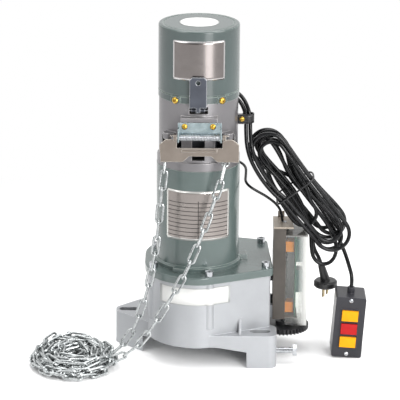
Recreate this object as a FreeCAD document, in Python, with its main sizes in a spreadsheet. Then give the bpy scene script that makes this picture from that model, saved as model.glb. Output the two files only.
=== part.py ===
import FreeCAD
import Part
import math
import os
import re

# Roller door motor standing on its gearbox feet.
# +Z runs up the motor axis, +X towards the limit switch unit, -Y towards the hand chain side.
# The origin is the motor axis on the mounting plane under the feet. All sizes are millimetres.

doc = FreeCAD.newDocument("RollerDoorMotor")
sheet = doc.addObject("Spreadsheet::Sheet", "Sizes")

# Driving dimensions
SIZES = {
    # Fits and gaps
    "running_fit": 0.05,
    "thread_fit": 0.05,
    "seat_fit": 0.02,
    "slide_gap": 0.3,
    "tooth_play": 0.12,
    # Gearbox outline, seen from above: corner places and their rounding
    "front_x": 4, "front_y": -76, "front_round": 40,
    "limit_front_x": 91.5, "limit_front_y": -35, "limit_front_round": 7,
    "limit_back_x": 86.5, "limit_back_y": 76, "limit_back_round": 11,
    "back_x": 20, "back_y": 95, "back_round": 50,
    "left_back_x": -64, "left_back_y": 70, "left_back_round": 62,
    "left_front_x": -64, "left_front_y": -60, "left_front_round": 66,
    # Gearbox housing and cover
    "housing_bottom": 26,
    "floor_bottom": 42,
    "floor_thickness": 8,
    "housing_height": 81,
    "cover_overhang": 3,
    "wall": 8,
    "cover_thickness": 9,
    "cover_edge_round": 1.6,
    "cover_boss_depth": 8,
    "shaft_boss_wall": 5,
    "cut_past": 1,
    # Feet
    "foot_height": 41,
    "web_depth": 21,
    "slot_length": 25.6,
    "slot_width": 12,
    "right_foot_x": 76, "right_foot_y": -50,
    "left_foot_x": -83.6, "left_foot_y": 27,
    "rear_foot_x": 57, "rear_foot_y": 103,
    "pad_half_length": 20, "pad_half_width": 18, "pad_round": 10,
    "left_root_front_x": 42, "left_root_front_y": 65, "left_root_back_x": 33, "left_root_back_y": 57,
    "left_root_depth": 60,
    "left_under_step": 17, "left_under_rise": 40, "left_under_reach": 90,
    "rib_thickness": 2.6, "rib_height": 20,
    # Cover screws
    "cover_screw_radius": 3, "cover_screw_head_radius": 5, "cover_screw_head": 6, "cover_screw_length": 22,
    "socket_radius": 2.6, "socket_depth": 3,
    # Motor tube
    "tube_radius": 50, "tube_wall": 2.8, "tube_length": 125,
    "flange_lip": 2.6, "flange_height": 4.5, "flange_radius": "=tube_radius + flange_lip",
    "ear_proud": 10, "ear_width": 15, "ear_height": 6, "ear_reach": "=tube_radius + ear_proud",
    "cover_top": "=housing_bottom + housing_height + cover_thickness", "tube_top": "=cover_top + tube_length",
    # Stator and rotor
    "stator_lift": 26, "stator_length": 62, "stator_bore": 27, "stator_bottom": "=cover_top + stator_lift",
    "winding_height": 13, "winding_gap": 4.2, "winding_step": 3,
    "winding_outer": "=tube_radius - tube_wall - winding_gap", "winding_inner": "=stator_bore + winding_step",
    "air_gap": 0.5,
    "core_shaft_radius": 8, "journal_radius": 6, "upper_journal_radius": 5,
    "lower_bearing_radius": 14, "lower_bearing_width": 9,
    "upper_bearing_radius": 13, "upper_bearing_width": 8,
    # Gear train
    "first_module": 1, "rotor_teeth": 16, "first_teeth": 60,
    "second_module": 1.5, "counter_teeth": 16, "output_teeth": 42,
    "limit_module": 1.5, "limit_pinion_teeth": 42, "limit_gear_teeth": 40,
    "output_x": 44, "output_y": 12, "limit_angle": -2,
    "first_gear_bottom": 80, "first_gear_width": 10,
    "second_gear_bottom": 56, "second_gear_width": 16,
    "pinion_overlap": 2,
    "counter_shaft_radius": 6, "counter_hole_depth": 6,
    "output_shaft_radius": 9, "output_bearing_radius": 17,
    "output_top_radius": 7,
    "shaft_end": 5,
    "sprocket_teeth": 12, "chain_pitch": 12.7, "chain_roller_radius": 4.25, "sprocket_bottom": 8,
    "sprocket_width": 7.2, "sprocket_hub_radius": 16,
    "limit_gear_bottom": 25, "limit_gear_width": 6,
    # Chain housing
    "ring_inset": 0.4, "ring_height": 11, "ring_radius": "=tube_radius - ring_inset",
    "chain_housing_radius": 47.4, "chain_housing_height": 83, "chain_top": "=tube_top + chain_housing_height",
    "chain_housing_wall": 4.5, "chain_housing_floor": 9,
    "chain_room_radius": "=chain_housing_radius - chain_housing_wall",
    "hood_radius": 8, "hood_height": 9, "hood_across": 0.7173, "hood_ahead": 0.7806,
    "hood_overlap": 2, "window_sill": 12, "window_height": 27, "window_edge": 4.4, "chain_window_inner": 20,
    "chain_window_outer": "=chain_housing_radius - window_edge",
    "chain_window_bottom": "=tube_top + window_sill",
    "chain_window_top": "=chain_window_bottom + window_height",
    "centre_window_width": 15, "centre_sill": 13.5, "centre_window_bottom": "=tube_top + centre_sill",
    "lever_pin_drop": 8.5, "lever_pin_height": "=chain_top - lever_pin_drop",
    "lever_slot_left": -11, "lever_slot_right": 11, "slot_below_pin": 4, "slot_above_pin": 4.5,
    "lever_slot_bottom": "=lever_pin_height - slot_below_pin",
    "lever_slot_top": "=lever_pin_height + slot_above_pin",
    "bracket_boss_left": -21, "bracket_boss_right": 22.5, "boss_proud": 6.6, "boss_lift": 42,
    "bracket_boss_height": 25.5,
    "bracket_boss_front": "=-(chain_housing_radius + boss_proud)",
    "bracket_boss_bottom": "=tube_top + boss_lift",
    "bracket_boss_top": "=bracket_boss_bottom + bracket_boss_height",
    "cable_boss_left": -12, "cable_boss_right": 4, "cable_boss_proud": 9.6, "cable_boss_height": 16.5,
    "cable_boss_drop": 0.5, "cable_boss_back": "=chain_housing_radius + cable_boss_proud",
    "cable_boss_top": "=chain_top - cable_boss_drop",
    "cable_boss_bottom": "=cable_boss_top - cable_boss_height",
    "clip_boss_proud": 8.1, "clip_boss_reach": "=chain_housing_radius + clip_boss_proud",
    "clip_boss_width": 9, "clip_boss_lift": 47, "clip_boss_height": 11,
    "clip_boss_bottom": "=tube_top + clip_boss_lift", "clip_boss_top": "=clip_boss_bottom + clip_boss_height",
    # Hand chain wheel
    "wheel_lift": 16, "wheel_width": 24, "wheel_gap": 3.9, "wheel_groove": 9,
    "wheel_bottom": "=tube_top + wheel_lift",
    "wheel_radius": "=chain_room_radius - wheel_gap", "wheel_groove_radius": "=wheel_radius - wheel_groove",
    "wheel_rim": 4, "wheel_pockets": 8, "wheel_pocket_width": 13, "wheel_pocket_depth": 5,
    # Brake
    "armature_rise": 1, "armature_width": 4, "armature_bottom": "=lever_pin_height + armature_rise",
    "brake_gap": 0.3, "brake_disc_width": 7.2,
    "brake_disc_bottom": "=armature_bottom - brake_gap - brake_disc_width",
    "coil_lift": 3.5, "coil_height": 26, "coil_gap": 2.9,
    "coil_bottom": "=armature_bottom + armature_width + coil_lift",
    "coil_radius": "=chain_room_radius - coil_gap", "coil_bore": 7, "coil_flange": 7, "brake_step": 6,
    "brake_radius": "=coil_radius - brake_step",
    "capacitor_radius": 17.5, "capacitor_height": 46, "capacitor_y": 14,
    # Top cap
    "cap_overhang": 1, "cap_wall": 2.4, "cap_height": 88, "cap_edge_round": 2.2,
    "cap_radius": "=chain_housing_radius + cap_overhang", "cap_bottom": "=chain_top",
    "cap_seam": 9.2, "seam_width": 1.4, "seam_depth": 0.9,
    "cap_step_inset": 6.4, "cap_step": 0.9, "cap_step_radius": "=cap_radius - cap_step_inset",
    "cap_step_width": 0.8, "cap_step_slope": 0.7,
    "cap_screw_angle": 34, "cap_screw_radius": 2.5, "cap_screw_head_radius": 4.2, "cap_screw_head": 2.6,
    "cap_screw_length": 6.2, "cap_screw_height": 3,
    "tab_radius": 7, "tab_proud": 1.4,
    # Release lever
    "lever_left": -11, "lever_right": 9.5, "lever_drop": 1, "lever_height": 43.2, "lever_thickness": 2,
    "lever_neck_width": 5, "lever_neck_rise": 6, "lever_eye_inset": 2, "lever_eye_wall": 1.2,
    "lever_bottom": "=lever_pin_height - lever_drop", "lever_top": "=lever_bottom + lever_height",
    "lever_stand": 3.2, "lever_back": "=-(chain_housing_radius + lever_stand)", "lever_chamfer": 3.2,
    "lever_hole_inset": 6.7, "lever_hole_radius": 2.6, "lever_hole_height": "=lever_top - lever_hole_inset",
    "lever_arm_overlap": 4.5, "lever_arm_thickness": 1.5,
    "lever_arm_reach": "=-(coil_radius - lever_arm_overlap)",
    "lever_pin_inset": 4.1, "lever_pin_radius": 1.3, "lever_pin_seat": 3.5,
    "lever_pin_y": "=-(chain_housing_radius - lever_pin_inset)",
    # Chain guide
    "bracket_left": -24.5, "bracket_right": 27.5, "bracket_overlap": 1.5, "bracket_height": 22,
    "sheet_thickness": 1.6,
    "bracket_bottom": "=bracket_boss_bottom - bracket_overlap",
    "bracket_top": "=bracket_bottom + bracket_height",
    "hinge_stand": 6, "hinge_lift": 5, "pin_radius": 2, "pin_end": 1.5,
    "hinge_y": "=bracket_boss_front - hinge_stand",
    "hinge_z": "=bracket_bottom + hinge_lift",
    "bracket_screw_left": -16.4, "bracket_screw_right": 17, "bracket_screw_inset": 4.7,
    "bracket_screw_height": "=bracket_top - bracket_screw_inset",
    "bracket_screw_radius": 2, "bracket_screw_head_radius": 3.7, "bracket_screw_head": 2.6,
    "front_screw_length": 6.5,
    "bracket_ear_drop": 6, "guide_side_gap": 1,
    "spring_wire": 1.4, "spring_inner": 2.5, "spring_coils": 20,
    "knuckle_radius": 3.6, "knuckle_length": 4,
    "plate_drop": 29.5, "plate_rise": 3, "shoulder_drop": 8.3, "opening_drop": 12.5, "notch_depth": 7,
    "plate_bottom": "=hinge_z - plate_drop", "plate_top": "=hinge_z + plate_rise",
    "plate_shoulder": "=hinge_z - shoulder_drop", "plate_opening": "=hinge_z - opening_drop",
    "plate_notch_height": "=plate_bottom + notch_depth", "plate_left": -46, "plate_right": 48,
    "plate_top_left": -33, "plate_top_right": 35.5,
    "plate_notch_left": -11, "plate_notch_right": 15, "plate_notch_slope": 7.5,
    "bead_left": -20, "bead_right": 22, "bead_drop": 16, "bead_radius": 1.7,
    "bead_height": "=hinge_z - bead_drop",
    # Limit switch unit
    "tray_left": 92, "tray_depth": 15, "tray_front": -12, "tray_width": 44, "tray_bottom": 43,
    "tray_top": 159,
    "tray_wall": 1.5,
    "top_plate_thickness": 2, "top_plate_reach": 24, "top_plate_tab": 9, "top_plate_tab_width": 8,
    "limit_cover_depth": 26.5, "limit_cover_bottom": 35, "limit_cover_top": 151, "limit_cover_wall": 1.8,
    "screw_radius": 4, "screw_end_radius": 3,
    "nut_width": 16, "nut_height": 13, "nut_low": 47, "nut_high": 125, "nut_reach": 12, "nut_back": 6,
    "board_thickness": 1.6, "board_gap": 13, "board_top": 148, "board_width": 30, "tongue_length": 15,
    "switch_depth": 9, "switch_height": 29, "switch_width": 16, "switch_low": 73, "switch_high": 112,
    "post_width": 6, "post_height": 16, "post_drop": 6,
    # Tension bolt
    "bolt_radius": 3.8, "bolt_flats": 13, "bolt_head": 4.8, "bolt_tip_x": 82, "bolt_head_x": 116,
    "bolt_height": 17,
    # Cable clip
    "clip_stand": 7.4, "clip_x": "=clip_boss_reach + clip_stand", "clip_y": 1.8,
    "clip_inner": 6, "clip_wall": 1.3, "clip_height": 6, "clip_screw_inset": 3.6,
    "clip_screw_radius": 2, "clip_screw_head_radius": 3.4, "clip_screw_head": 2.4,
    # Cables
    "cable_radius": 2.4, "thin_lead_radius": 1.6, "cable_stand": 5.1, "cable_low": 5, "cable_high": 12.5,
    "hank_front": -7, "hank_thickness": 34, "hank_bottom": 129, "hank_drop": 5, "hank_ring_gap": 3.9,
    "hank_tube_gap": 8,
    "hank_top": "=clip_boss_bottom - hank_drop",
    "tie_thickness": 1.3, "tie_width": 4.5, "tie_lean": 42, "tie_length": 74, "tie_x": 143.5, "tie_z": 226,
    # Plug
    "plug_radius": 14.5, "plug_x": 157.5, "plug_y": 21, "plug_bottom": 74, "plug_height": 9,
    "plug_round": 2, "pin_length": 11, "pin_width": 5, "pin_thickness": 1.7, "pin_pitch": 12, "pin_turn": 65,
    "relief_radius": 6, "relief_tip_radius": 4, "relief_x": 151.5, "relief_y": 17, "relief_z": 104,
    # Wall switch
    "box_x": 163.5, "box_front": -31, "box_width": 36.5, "box_depth": 41, "box_height": 77, "box_round": 2.5,
    "box_front_depth": 9, "box_wall": 2.2, "box_lean": 4,
    "button_width": 19.6, "button_height": 13.2, "button_proud": 3.6, "button_inside": 5,
    "button_pitch": 16.8,
    "button_low": 20.4, "collar_width": 1.4, "collar_proud": 1.2,
    "box_screw_radius": 1.6, "box_screw_head_radius": 2.7, "box_screw_head": 1.2, "box_screw_inset": 4.3,
    "gland_radius": 4.6, "gland_height": 7,
    # Hand chain
    "link_wire": 3, "link_inner_length": 20.8, "link_inner_width": 4.6, "link_slack": 0.35,
    "pile_x": -151.7, "pile_y": -64, "pile_radius": 50, "pile_ring": 5.3,
}
for row, (alias, size) in enumerate(SIZES.items(), start=1):
    sheet.set("A%d" % row, alias)
    sheet.set("B%d" % row, str(size))
    sheet.setAlias("B%d" % row, alias)
doc.recompute()

PARTS = []


# Helpers that read the sheet and bind sizes to it
def expression(text):
    """Put the sheet's name before each size alias in a formula."""
    return re.sub(r"[a-z_]+[a-z_0-9]*", lambda word: "Sizes." + word.group() if word.group() in SIZES
                  else word.group(), str(text))


def value(text):
    """The number that a formula of sizes gives."""
    return float(sheet.evalExpression(expression(text)))


def bind(thing, **formulas):
    for name, formula in formulas.items():
        thing.setExpression(name, expression(formula))
    return thing


def place(thing, x=None, y=None, z=None):
    for axis, formula in (("x", x), ("y", y), ("z", z)):
        if formula is not None:
            thing.setExpression(".Placement.Base." + axis, expression(formula))
    return thing


TURNS = {
    "z": FreeCAD.Rotation(),
    "x": FreeCAD.Rotation(FreeCAD.Vector(0, 1, 0), 90),
    "y": FreeCAD.Rotation(FreeCAD.Vector(1, 0, 0), -90),
}


def cylinder(name, radius, height, x=None, y=None, z=None, along="z"):
    rod = doc.addObject("Part::Cylinder", name)
    rod.Placement = FreeCAD.Placement(FreeCAD.Vector(), TURNS[along])
    bind(rod, Radius=radius, Height=height)
    return place(rod, x, y, z)


def cone(name, low_radius, high_radius, height, x=None, y=None, z=None):
    taper = doc.addObject("Part::Cone", name)
    bind(taper, Radius1=low_radius, Radius2=high_radius, Height=height)
    return place(taper, x, y, z)


def block(name, length, width, height, x=None, y=None, z=None):
    brick = doc.addObject("Part::Box", name)
    bind(brick, Length=length, Width=width, Height=height)
    return place(brick, x, y, z)


def join(name, *pieces):
    union = doc.addObject("Part::MultiFuse", name)
    union.Shapes = list(pieces)
    return union


def cut(name, base, *tools):
    tool = tools[0] if len(tools) == 1 else join(name + "_tools", *tools)
    result = doc.addObject("Part::Cut", name)
    result.Base = base
    result.Tool = tool
    return result


def group(name, *pieces):
    """Several separate solids of one kind in one node."""
    compound = doc.addObject("Part::Compound", name)
    compound.Links = list(pieces)
    return compound


def sketch(name, edges, plane="xy"):
    """A sketch of the given edges, on the ground plane or upright facing the front."""
    drawing = doc.addObject("Sketcher::SketchObject", name)
    for edge in edges:
        drawing.addGeometry(edge, False)
    if plane == "xz":
        drawing.Placement = FreeCAD.Placement(FreeCAD.Vector(), FreeCAD.Rotation(FreeCAD.Vector(1, 0, 0), 90))
    if plane == "yz":
        drawing.Placement = FreeCAD.Placement(FreeCAD.Vector(), FreeCAD.Rotation(0.5, 0.5, 0.5, 0.5))
    return drawing


def extrude(name, profile, length):
    """A solid pulled from a closed sketch along the sketch's normal."""
    solid = doc.addObject("Part::Extrusion", name)
    solid.Base = profile
    solid.DirMode = "Normal"
    solid.Solid = True
    return bind(solid, LengthFwd=length)


def rounded_edges(corners):
    """Lines and tangent arcs of a closed outline whose corners are (x, y, rounding)."""
    points = [FreeCAD.Vector(x, y, 0) for x, y, _ in corners]
    ends = []
    for index, (_, _, rounding) in enumerate(corners):
        here = points[index]
        back = (points[index - 1] - here).normalize()
        ahead = (points[(index + 1) % len(points)] - here).normalize()
        half = back.getAngle(ahead) / 2
        reach = rounding / math.tan(half)
        middle = (back + ahead).normalize() * (rounding / math.sin(half) - rounding)
        ends.append((here + back * reach, here + middle, here + ahead * reach, rounding))
    edges = []
    for index, (start, middle, finish, rounding) in enumerate(ends):
        if rounding:
            edges.append(Part.Arc(start, middle, finish))
        edges.append(Part.LineSegment(finish, ends[(index + 1) % len(ends)][0]))
    return edges


def polygon(*points):
    return rounded_edges([(x, y, 0) for x, y in points])


def values(*formulas):
    return tuple(value(formula) for formula in formulas)


def lathe(name, *corners):
    """A solid turned about the motor axis from (radius, height) corners given as formulas."""
    return turn(name, polygon(*[values(r, z) for r, z in corners]))


def turn(name, edges):
    """A solid turned about an upright axis from the edges of its half section."""
    profile = sketch(name + "_profile", edges, "xz")
    turned = doc.addObject("Part::Revolution", name)
    turned.Source = profile
    turned.Axis = FreeCAD.Vector(0, 0, 1)
    turned.Base = FreeCAD.Vector(0, 0, 0)
    turned.Angle = 360
    turned.Solid = True
    return turned


def feature(name, shape):
    """A solid worked out in code, where no document feature fits."""
    solid = doc.addObject("Part::Feature", name)
    solid.Shape = shape
    return solid


def node(thing, label):
    """Mark a finished sub-part and give it its file name."""
    thing.Label = label
    PARTS.append(thing)
    return thing


def move(solid, x="0", y="0", z="0"):
    solid.Placement.Base = FreeCAD.Vector(*values(x, y, z))
    return solid


# Levels worked out from the driving dimensions
FLOOR_TOP = "(floor_bottom + floor_thickness)"
COVER_BOTTOM = "(housing_bottom + housing_height)"
COVER_TOP = "cover_top"
TUBE_TOP = "tube_top"
CHAIN_TOP = "chain_top"

# Shaft places: the countershaft stands where both centre distances meet, behind the motor axis
OUTPUT_X, OUTPUT_Y = values("output_x", "output_y")
FIRST_CENTRES = value("first_module * (rotor_teeth + first_teeth) / 2")
SECOND_CENTRES = value("second_module * (counter_teeth + output_teeth) / 2")
LIMIT_CENTRES = value("limit_module * (limit_pinion_teeth + limit_gear_teeth) / 2")
SPAN = math.hypot(OUTPUT_X, OUTPUT_Y)
ALONG = (FIRST_CENTRES ** 2 - SECOND_CENTRES ** 2 + SPAN ** 2) / (2 * SPAN)
ACROSS = math.sqrt(FIRST_CENTRES ** 2 - ALONG ** 2)
COUNTER_X = (ALONG * OUTPUT_X - ACROSS * OUTPUT_Y) / SPAN
COUNTER_Y = (ALONG * OUTPUT_Y + ACROSS * OUTPUT_X) / SPAN
LIMIT_TURN = math.radians(value("limit_angle"))
LIMIT_X = OUTPUT_X + LIMIT_CENTRES * math.cos(LIMIT_TURN)
LIMIT_Y = OUTPUT_Y + LIMIT_CENTRES * math.sin(LIMIT_TURN)


# Gear teeth: involute flanks drawn through three points a side, thinned by the play
def gear_face(teeth, module, first_tooth):
    """The outline of a spur gear with a tooth centred on the given angle."""
    pressure = math.radians(20)
    pitch_radius = teeth * module / 2
    base_radius = pitch_radius * math.cos(pressure)
    tip_radius = pitch_radius + module
    root_radius = pitch_radius - 1.25 * module
    pitch_half = math.pi / (2 * teeth) - value("tooth_play") / (2 * pitch_radius)

    def involute(angle):
        return math.tan(angle) - angle

    def half_angle(radius):
        if radius <= base_radius:
            return pitch_half + involute(pressure)
        return pitch_half + involute(pressure) - involute(math.acos(base_radius / radius))

    flank = [root_radius, max(base_radius, root_radius + 0.3 * module), pitch_radius, tip_radius]
    points = []
    for tooth in range(teeth):
        middle = first_tooth + 2 * math.pi * tooth / teeth
        for side, radii in ((-1, flank), (1, reversed(flank))):
            for radius in radii:
                angle = middle + side * half_angle(radius)
                points.append(FreeCAD.Vector(radius * math.cos(angle), radius * math.sin(angle), 0))
    return Part.Face(Part.makePolygon(points + points[:1]))


def spur_gear(teeth, module, width, first_tooth=0.0):
    return gear_face(teeth, module, first_tooth).extrude(FreeCAD.Vector(0, 0, width))


def meshing_tooth(teeth, driver_teeth, driver_tooth, direction):
    """First tooth angle of a gear whose space faces the driver's tooth along the line of centres."""
    driver_phase = (direction - driver_tooth) * driver_teeth / (2 * math.pi)
    return direction + math.pi + (driver_phase + 0.5) * 2 * math.pi / teeth


# Gearbox housing: one casting with the wall, the floor, three slotted feet and the shaft bosses
OUTLINE_CORNERS = ("front", "limit_front", "limit_back", "back", "left_back", "left_front")
outline = sketch("gearbox_outline", rounded_edges(
    [values(corner + "_x", corner + "_y", corner + "_round") for corner in OUTLINE_CORNERS]))


def inset_outline(name, inset):
    ring = doc.addObject("Part::Offset2D", name)
    ring.Source = outline
    ring.Join = "Arc"
    return bind(ring, Value="-(" + inset + ")")


wall_outline = inset_outline("wall_outline", "cover_overhang")
inner_outline = inset_outline("inner_outline", "cover_overhang + wall")
doc.recompute()


def slab(name, profile, bottom, height):
    return place(extrude(name, profile, height), z=bottom)


housing_body = slab("housing_body", wall_outline, "housing_bottom", "housing_height")
gear_room = slab("gear_room", inner_outline, FLOOR_TOP, "housing_height")
under_room = slab("under_room", inner_outline, "-1", "floor_bottom + 1")


def slotted_foot(name, corners, slot_x, slot_y, under_corners):
    """A foot of full height at its pad, cut away below its web, with a slot for the fixing bolt."""
    plan = extrude(name + "_plan", sketch(name + "_outline", rounded_edges(corners)), "foot_height")
    under_sketch = sketch(name + "_under_outline", polygon(*under_corners), "xz")
    under = place(extrude(name + "_under", under_sketch, "400"), y="200")
    return cut(name, plan, under), slot_tool(name + "_slot", slot_x, slot_y)


def slot_tool(name, slot_x, slot_y):
    half = "(slot_length - slot_width) / 2"
    ends = [cylinder(name + side, "slot_width / 2", "foot_height + 2", slot_x + sign + half, slot_y, "-1")
            for side, sign in (("_left", " - "), ("_right", " + "))]
    middle = block(name + "_middle", "slot_length - slot_width", "slot_width", "foot_height + 2",
                   slot_x + " - " + half, slot_y + " - slot_width / 2", "-1")
    return join(name, *ends, middle)


PAD_LENGTH, PAD_WIDTH, PAD_ROUND = values("pad_half_length", "pad_half_width", "pad_round")
WEB_LOW = value("foot_height - web_depth")
WALL_LOW = value("housing_bottom")
RIGHT_X, RIGHT_Y = values("right_foot_x", "right_foot_y")
LEFT_X, LEFT_Y = values("left_foot_x", "left_foot_y")
REAR_X, REAR_Y = values("rear_foot_x", "rear_foot_y")
FRONT_X = value("front_x")
LEFT_STEP, LEFT_RISE, LEFT_REACH = values("left_foot_x + left_under_step", "left_foot_x + left_under_rise",
                                          "left_foot_x + left_under_reach")
right_foot, right_slot = slotted_foot(
    "right_foot",
    [(FRONT_X, RIGHT_Y + PAD_WIDTH, 0), (FRONT_X, RIGHT_Y - PAD_WIDTH, 0),
     (RIGHT_X + PAD_LENGTH, RIGHT_Y - PAD_WIDTH, PAD_ROUND),
     (RIGHT_X + PAD_LENGTH, RIGHT_Y + PAD_WIDTH - 2, PAD_ROUND), (RIGHT_X, RIGHT_Y + 2 * PAD_WIDTH, 0)],
    "right_foot_x", "right_foot_y",
    [(FRONT_X - 1, -1), (RIGHT_X - PAD_LENGTH + 4, -1), (RIGHT_X - PAD_LENGTH + 4, WEB_LOW),
     (RIGHT_X - 2.6 * PAD_LENGTH, WALL_LOW), (FRONT_X - 1, WALL_LOW)])
left_foot, left_slot = slotted_foot(
    "left_foot",
    [values("left_foot_x + left_root_front_x", "left_foot_y - left_root_front_y", "0"),
     (LEFT_X - PAD_LENGTH + 3.5, LEFT_Y - 6, PAD_ROUND), (LEFT_X - PAD_LENGTH + 3.5, LEFT_Y + 7, PAD_ROUND),
     values("left_foot_x + left_root_back_x", "left_foot_y + left_root_back_y", "0"),
     values("left_foot_x + left_root_depth", "left_foot_y", "0")],
    "left_foot_x", "left_foot_y",
    [(LEFT_STEP, -1), (LEFT_REACH, -1), (LEFT_REACH, WALL_LOW), (LEFT_RISE, WALL_LOW), (LEFT_STEP, WEB_LOW)])
rear_foot, rear_slot = slotted_foot(
    "rear_foot",
    [(REAR_X - 2 * PAD_LENGTH, REAR_Y - 40, 0), (REAR_X + PAD_LENGTH, REAR_Y - 40, 0),
     (REAR_X + PAD_LENGTH, REAR_Y + PAD_WIDTH - 4, PAD_ROUND),
     (REAR_X - PAD_LENGTH, REAR_Y + PAD_WIDTH - 4, PAD_ROUND)],
    "rear_foot_x", "rear_foot_y",
    [(REAR_X - 2.2 * PAD_LENGTH, -1), (REAR_X - PAD_LENGTH, -1), (REAR_X - PAD_LENGTH, WEB_LOW),
     (REAR_X - 2.2 * PAD_LENGTH, WALL_LOW)])
rib_sketch = sketch("foot_rib_outline", polygon(values("right_foot_y - pad_half_width + 6",
                                                       "foot_height - 1"), values("right_foot_y + 12",
                                                                                  "foot_height - 1"),
                                                values("right_foot_y + 12", "foot_height + rib_height + 4"),
                                                values("right_foot_y + 2", "foot_height + rib_height")),
                    "yz")
foot_rib = place(extrude("foot_rib", rib_sketch, "rib_thickness"), x="right_foot_x - pad_half_length - 5.5")

# Cover screws stand on bosses inside the wall, all along the outline
SCREW_PLACES = {"limit_front": (82.5, -28), "limit_back": (78.5, 65), "front": (14, -64),
                "left_front": (-53, -31), "left_back": (-50, 44), "back": (22, 82)}
boss_height = "housing_height - floor_thickness - floor_bottom + housing_bottom"
screw_bosses = [cylinder("screw_boss_" + spot, "cover_screw_radius + 3", boss_height, x, y, FLOOR_TOP)
                for spot, (x, y) in SCREW_PLACES.items()]
screw_holes = [cylinder("screw_hole_" + spot, "cover_screw_radius + thread_fit", "cover_screw_length", x, y,
                        COVER_BOTTOM + " - cover_screw_length + cover_thickness + 1")
               for spot, (x, y) in SCREW_PLACES.items()]
output_boss = cylinder("output_boss", "output_bearing_radius + shaft_boss_wall", "floor_thickness + 8",
                       OUTPUT_X, OUTPUT_Y, "floor_bottom - 8")
output_bore = cylinder("output_bore", "output_bearing_radius + seat_fit", "floor_thickness + 12",
                       OUTPUT_X, OUTPUT_Y, "floor_bottom - 6")
output_lip = cylinder("output_lip", "output_shaft_radius + 1.5", "40", OUTPUT_X, OUTPUT_Y,
                      "floor_bottom - 20")
counter_boss = cylinder("counter_boss", "counter_shaft_radius + shaft_boss_wall", "floor_thickness + 2",
                        COUNTER_X, COUNTER_Y, "floor_bottom - 4")
counter_bore = cylinder("counter_bore", "counter_shaft_radius + running_fit", "20", COUNTER_X, COUNTER_Y,
                        FLOOR_TOP + " - counter_hole_depth")
LIMIT_TIP = "limit_module * (limit_gear_teeth / 2 + 1)"
limit_relief = cylinder("limit_relief", LIMIT_TIP + " + 1.5", "limit_gear_width + 4", LIMIT_X, LIMIT_Y,
                        "limit_gear_bottom - 2")
bolt_hole = cylinder("bolt_hole", "bolt_radius + thread_fit", "60", "right_foot_x", "right_foot_y",
                     "bolt_height", "x")
housing_shell = cut("housing_shell", join("housing_cast", housing_body, right_foot, left_foot, rear_foot,
                                          foot_rib), gear_room, under_room)
housing_solid = join("housing_solid", housing_shell, *screw_bosses, output_boss, counter_boss)
gearbox_housing = cut("gearbox_housing_solid", housing_solid, right_slot, left_slot, rear_slot, limit_relief,
                      bolt_hole, output_bore, output_lip, counter_bore, *screw_holes)
node(gearbox_housing, "gearbox_housing")

# Gearbox cover: a thick painted plate with a bearing seat under the motor and blind shaft holes
cover_plate = slab("cover_plate", outline, COVER_BOTTOM, "cover_thickness")
doc.recompute()
cover_round = doc.addObject("Part::Fillet", "cover_round")
cover_round.Base = cover_plate
COVER_TOP_Z = value(COVER_TOP)
cover_round.Edges = [(index, value("cover_edge_round"), value("cover_edge_round"))
                     for index, edge in enumerate(cover_plate.Shape.Edges, start=1)
                     if edge.BoundBox.ZMin > COVER_TOP_Z - 0.01]
cover_boss = cylinder("cover_boss", "lower_bearing_radius + shaft_boss_wall", "cover_boss_depth", "0", "0",
                      COVER_BOTTOM + " - cover_boss_depth")
cover_bore = cylinder("cover_bore", "lower_bearing_radius + seat_fit", "40", "0", "0",
                      COVER_TOP + " - lower_bearing_width - 2")
cover_shaft_hole = cylinder("cover_shaft_hole", "first_module * (rotor_teeth / 2 + 1) + 1", "60", "0", "0",
                            COVER_BOTTOM + " - 20")
cover_counter_hole = cylinder("cover_counter_hole", "counter_shaft_radius + running_fit",
                              "counter_hole_depth", COUNTER_X, COUNTER_Y, COVER_BOTTOM)
cover_output_hole = cylinder("cover_output_hole", "output_top_radius + running_fit", "counter_hole_depth",
                             OUTPUT_X, OUTPUT_Y, COVER_BOTTOM)
gearbox_cover = cut("gearbox_cover_solid", join("cover_body", cover_round, cover_boss), cover_bore,
                    cover_shaft_hole, cover_counter_hole, cover_output_hole, *screw_holes)
node(gearbox_cover, "gearbox_cover")


def socket_screw(name, x, y):
    """A socket head cap screw standing on the cover."""
    shank = cylinder(name + "_shank", "cover_screw_radius", "cover_screw_length - 1", x, y,
                     COVER_TOP + " - cover_screw_length + 1")
    head = cylinder(name + "_head", "cover_screw_head_radius", "cover_screw_head", x, y, COVER_TOP)
    socket = doc.addObject("Part::Prism", name + "_socket")
    bind(socket, Circumradius="socket_radius", Height="socket_depth + 1")
    place(socket, x, y, COVER_TOP + " + cover_screw_head - socket_depth")
    return cut(name, join(name + "_body", shank, head), socket)


cover_screws = group("cover_screws_set", *[socket_screw("cover_screw_" + spot, x, y)
                                           for spot, (x, y) in SCREW_PLACES.items()])
node(cover_screws, "cover_screws")

# Motor tube: a drawn tube on a low flange with three ears
tube_turned = lathe("tube_turned", ("tube_radius - tube_wall", COVER_TOP), ("flange_radius", COVER_TOP),
                    ("flange_radius", COVER_TOP + " + flange_height"),
                    ("tube_radius", COVER_TOP + " + flange_height + 1.5"),
                    ("tube_radius", TUBE_TOP), ("tube_radius - tube_wall", TUBE_TOP))


def tube_ear(name, angle):
    ear = block(name, "ear_reach - tube_radius + 1.5", "ear_width", "ear_height")
    turn = math.radians(angle)
    radius, half = values("tube_radius - 1.5", "ear_width / 2")
    ear.Placement = FreeCAD.Placement(
        FreeCAD.Vector(radius * math.cos(turn) + half * math.sin(turn),
                       radius * math.sin(turn) - half * math.cos(turn), COVER_TOP_Z),
        FreeCAD.Rotation(FreeCAD.Vector(0, 0, 1), angle))
    return ear


tube_ears = [tube_ear("tube_ear_" + side, angle) for side, angle in (("right", 8), ("back", 128),
                                                                     ("left", 248))]
motor_tube = join("motor_tube_solid", tube_turned, *tube_ears)
node(motor_tube, "motor_tube")

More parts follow.
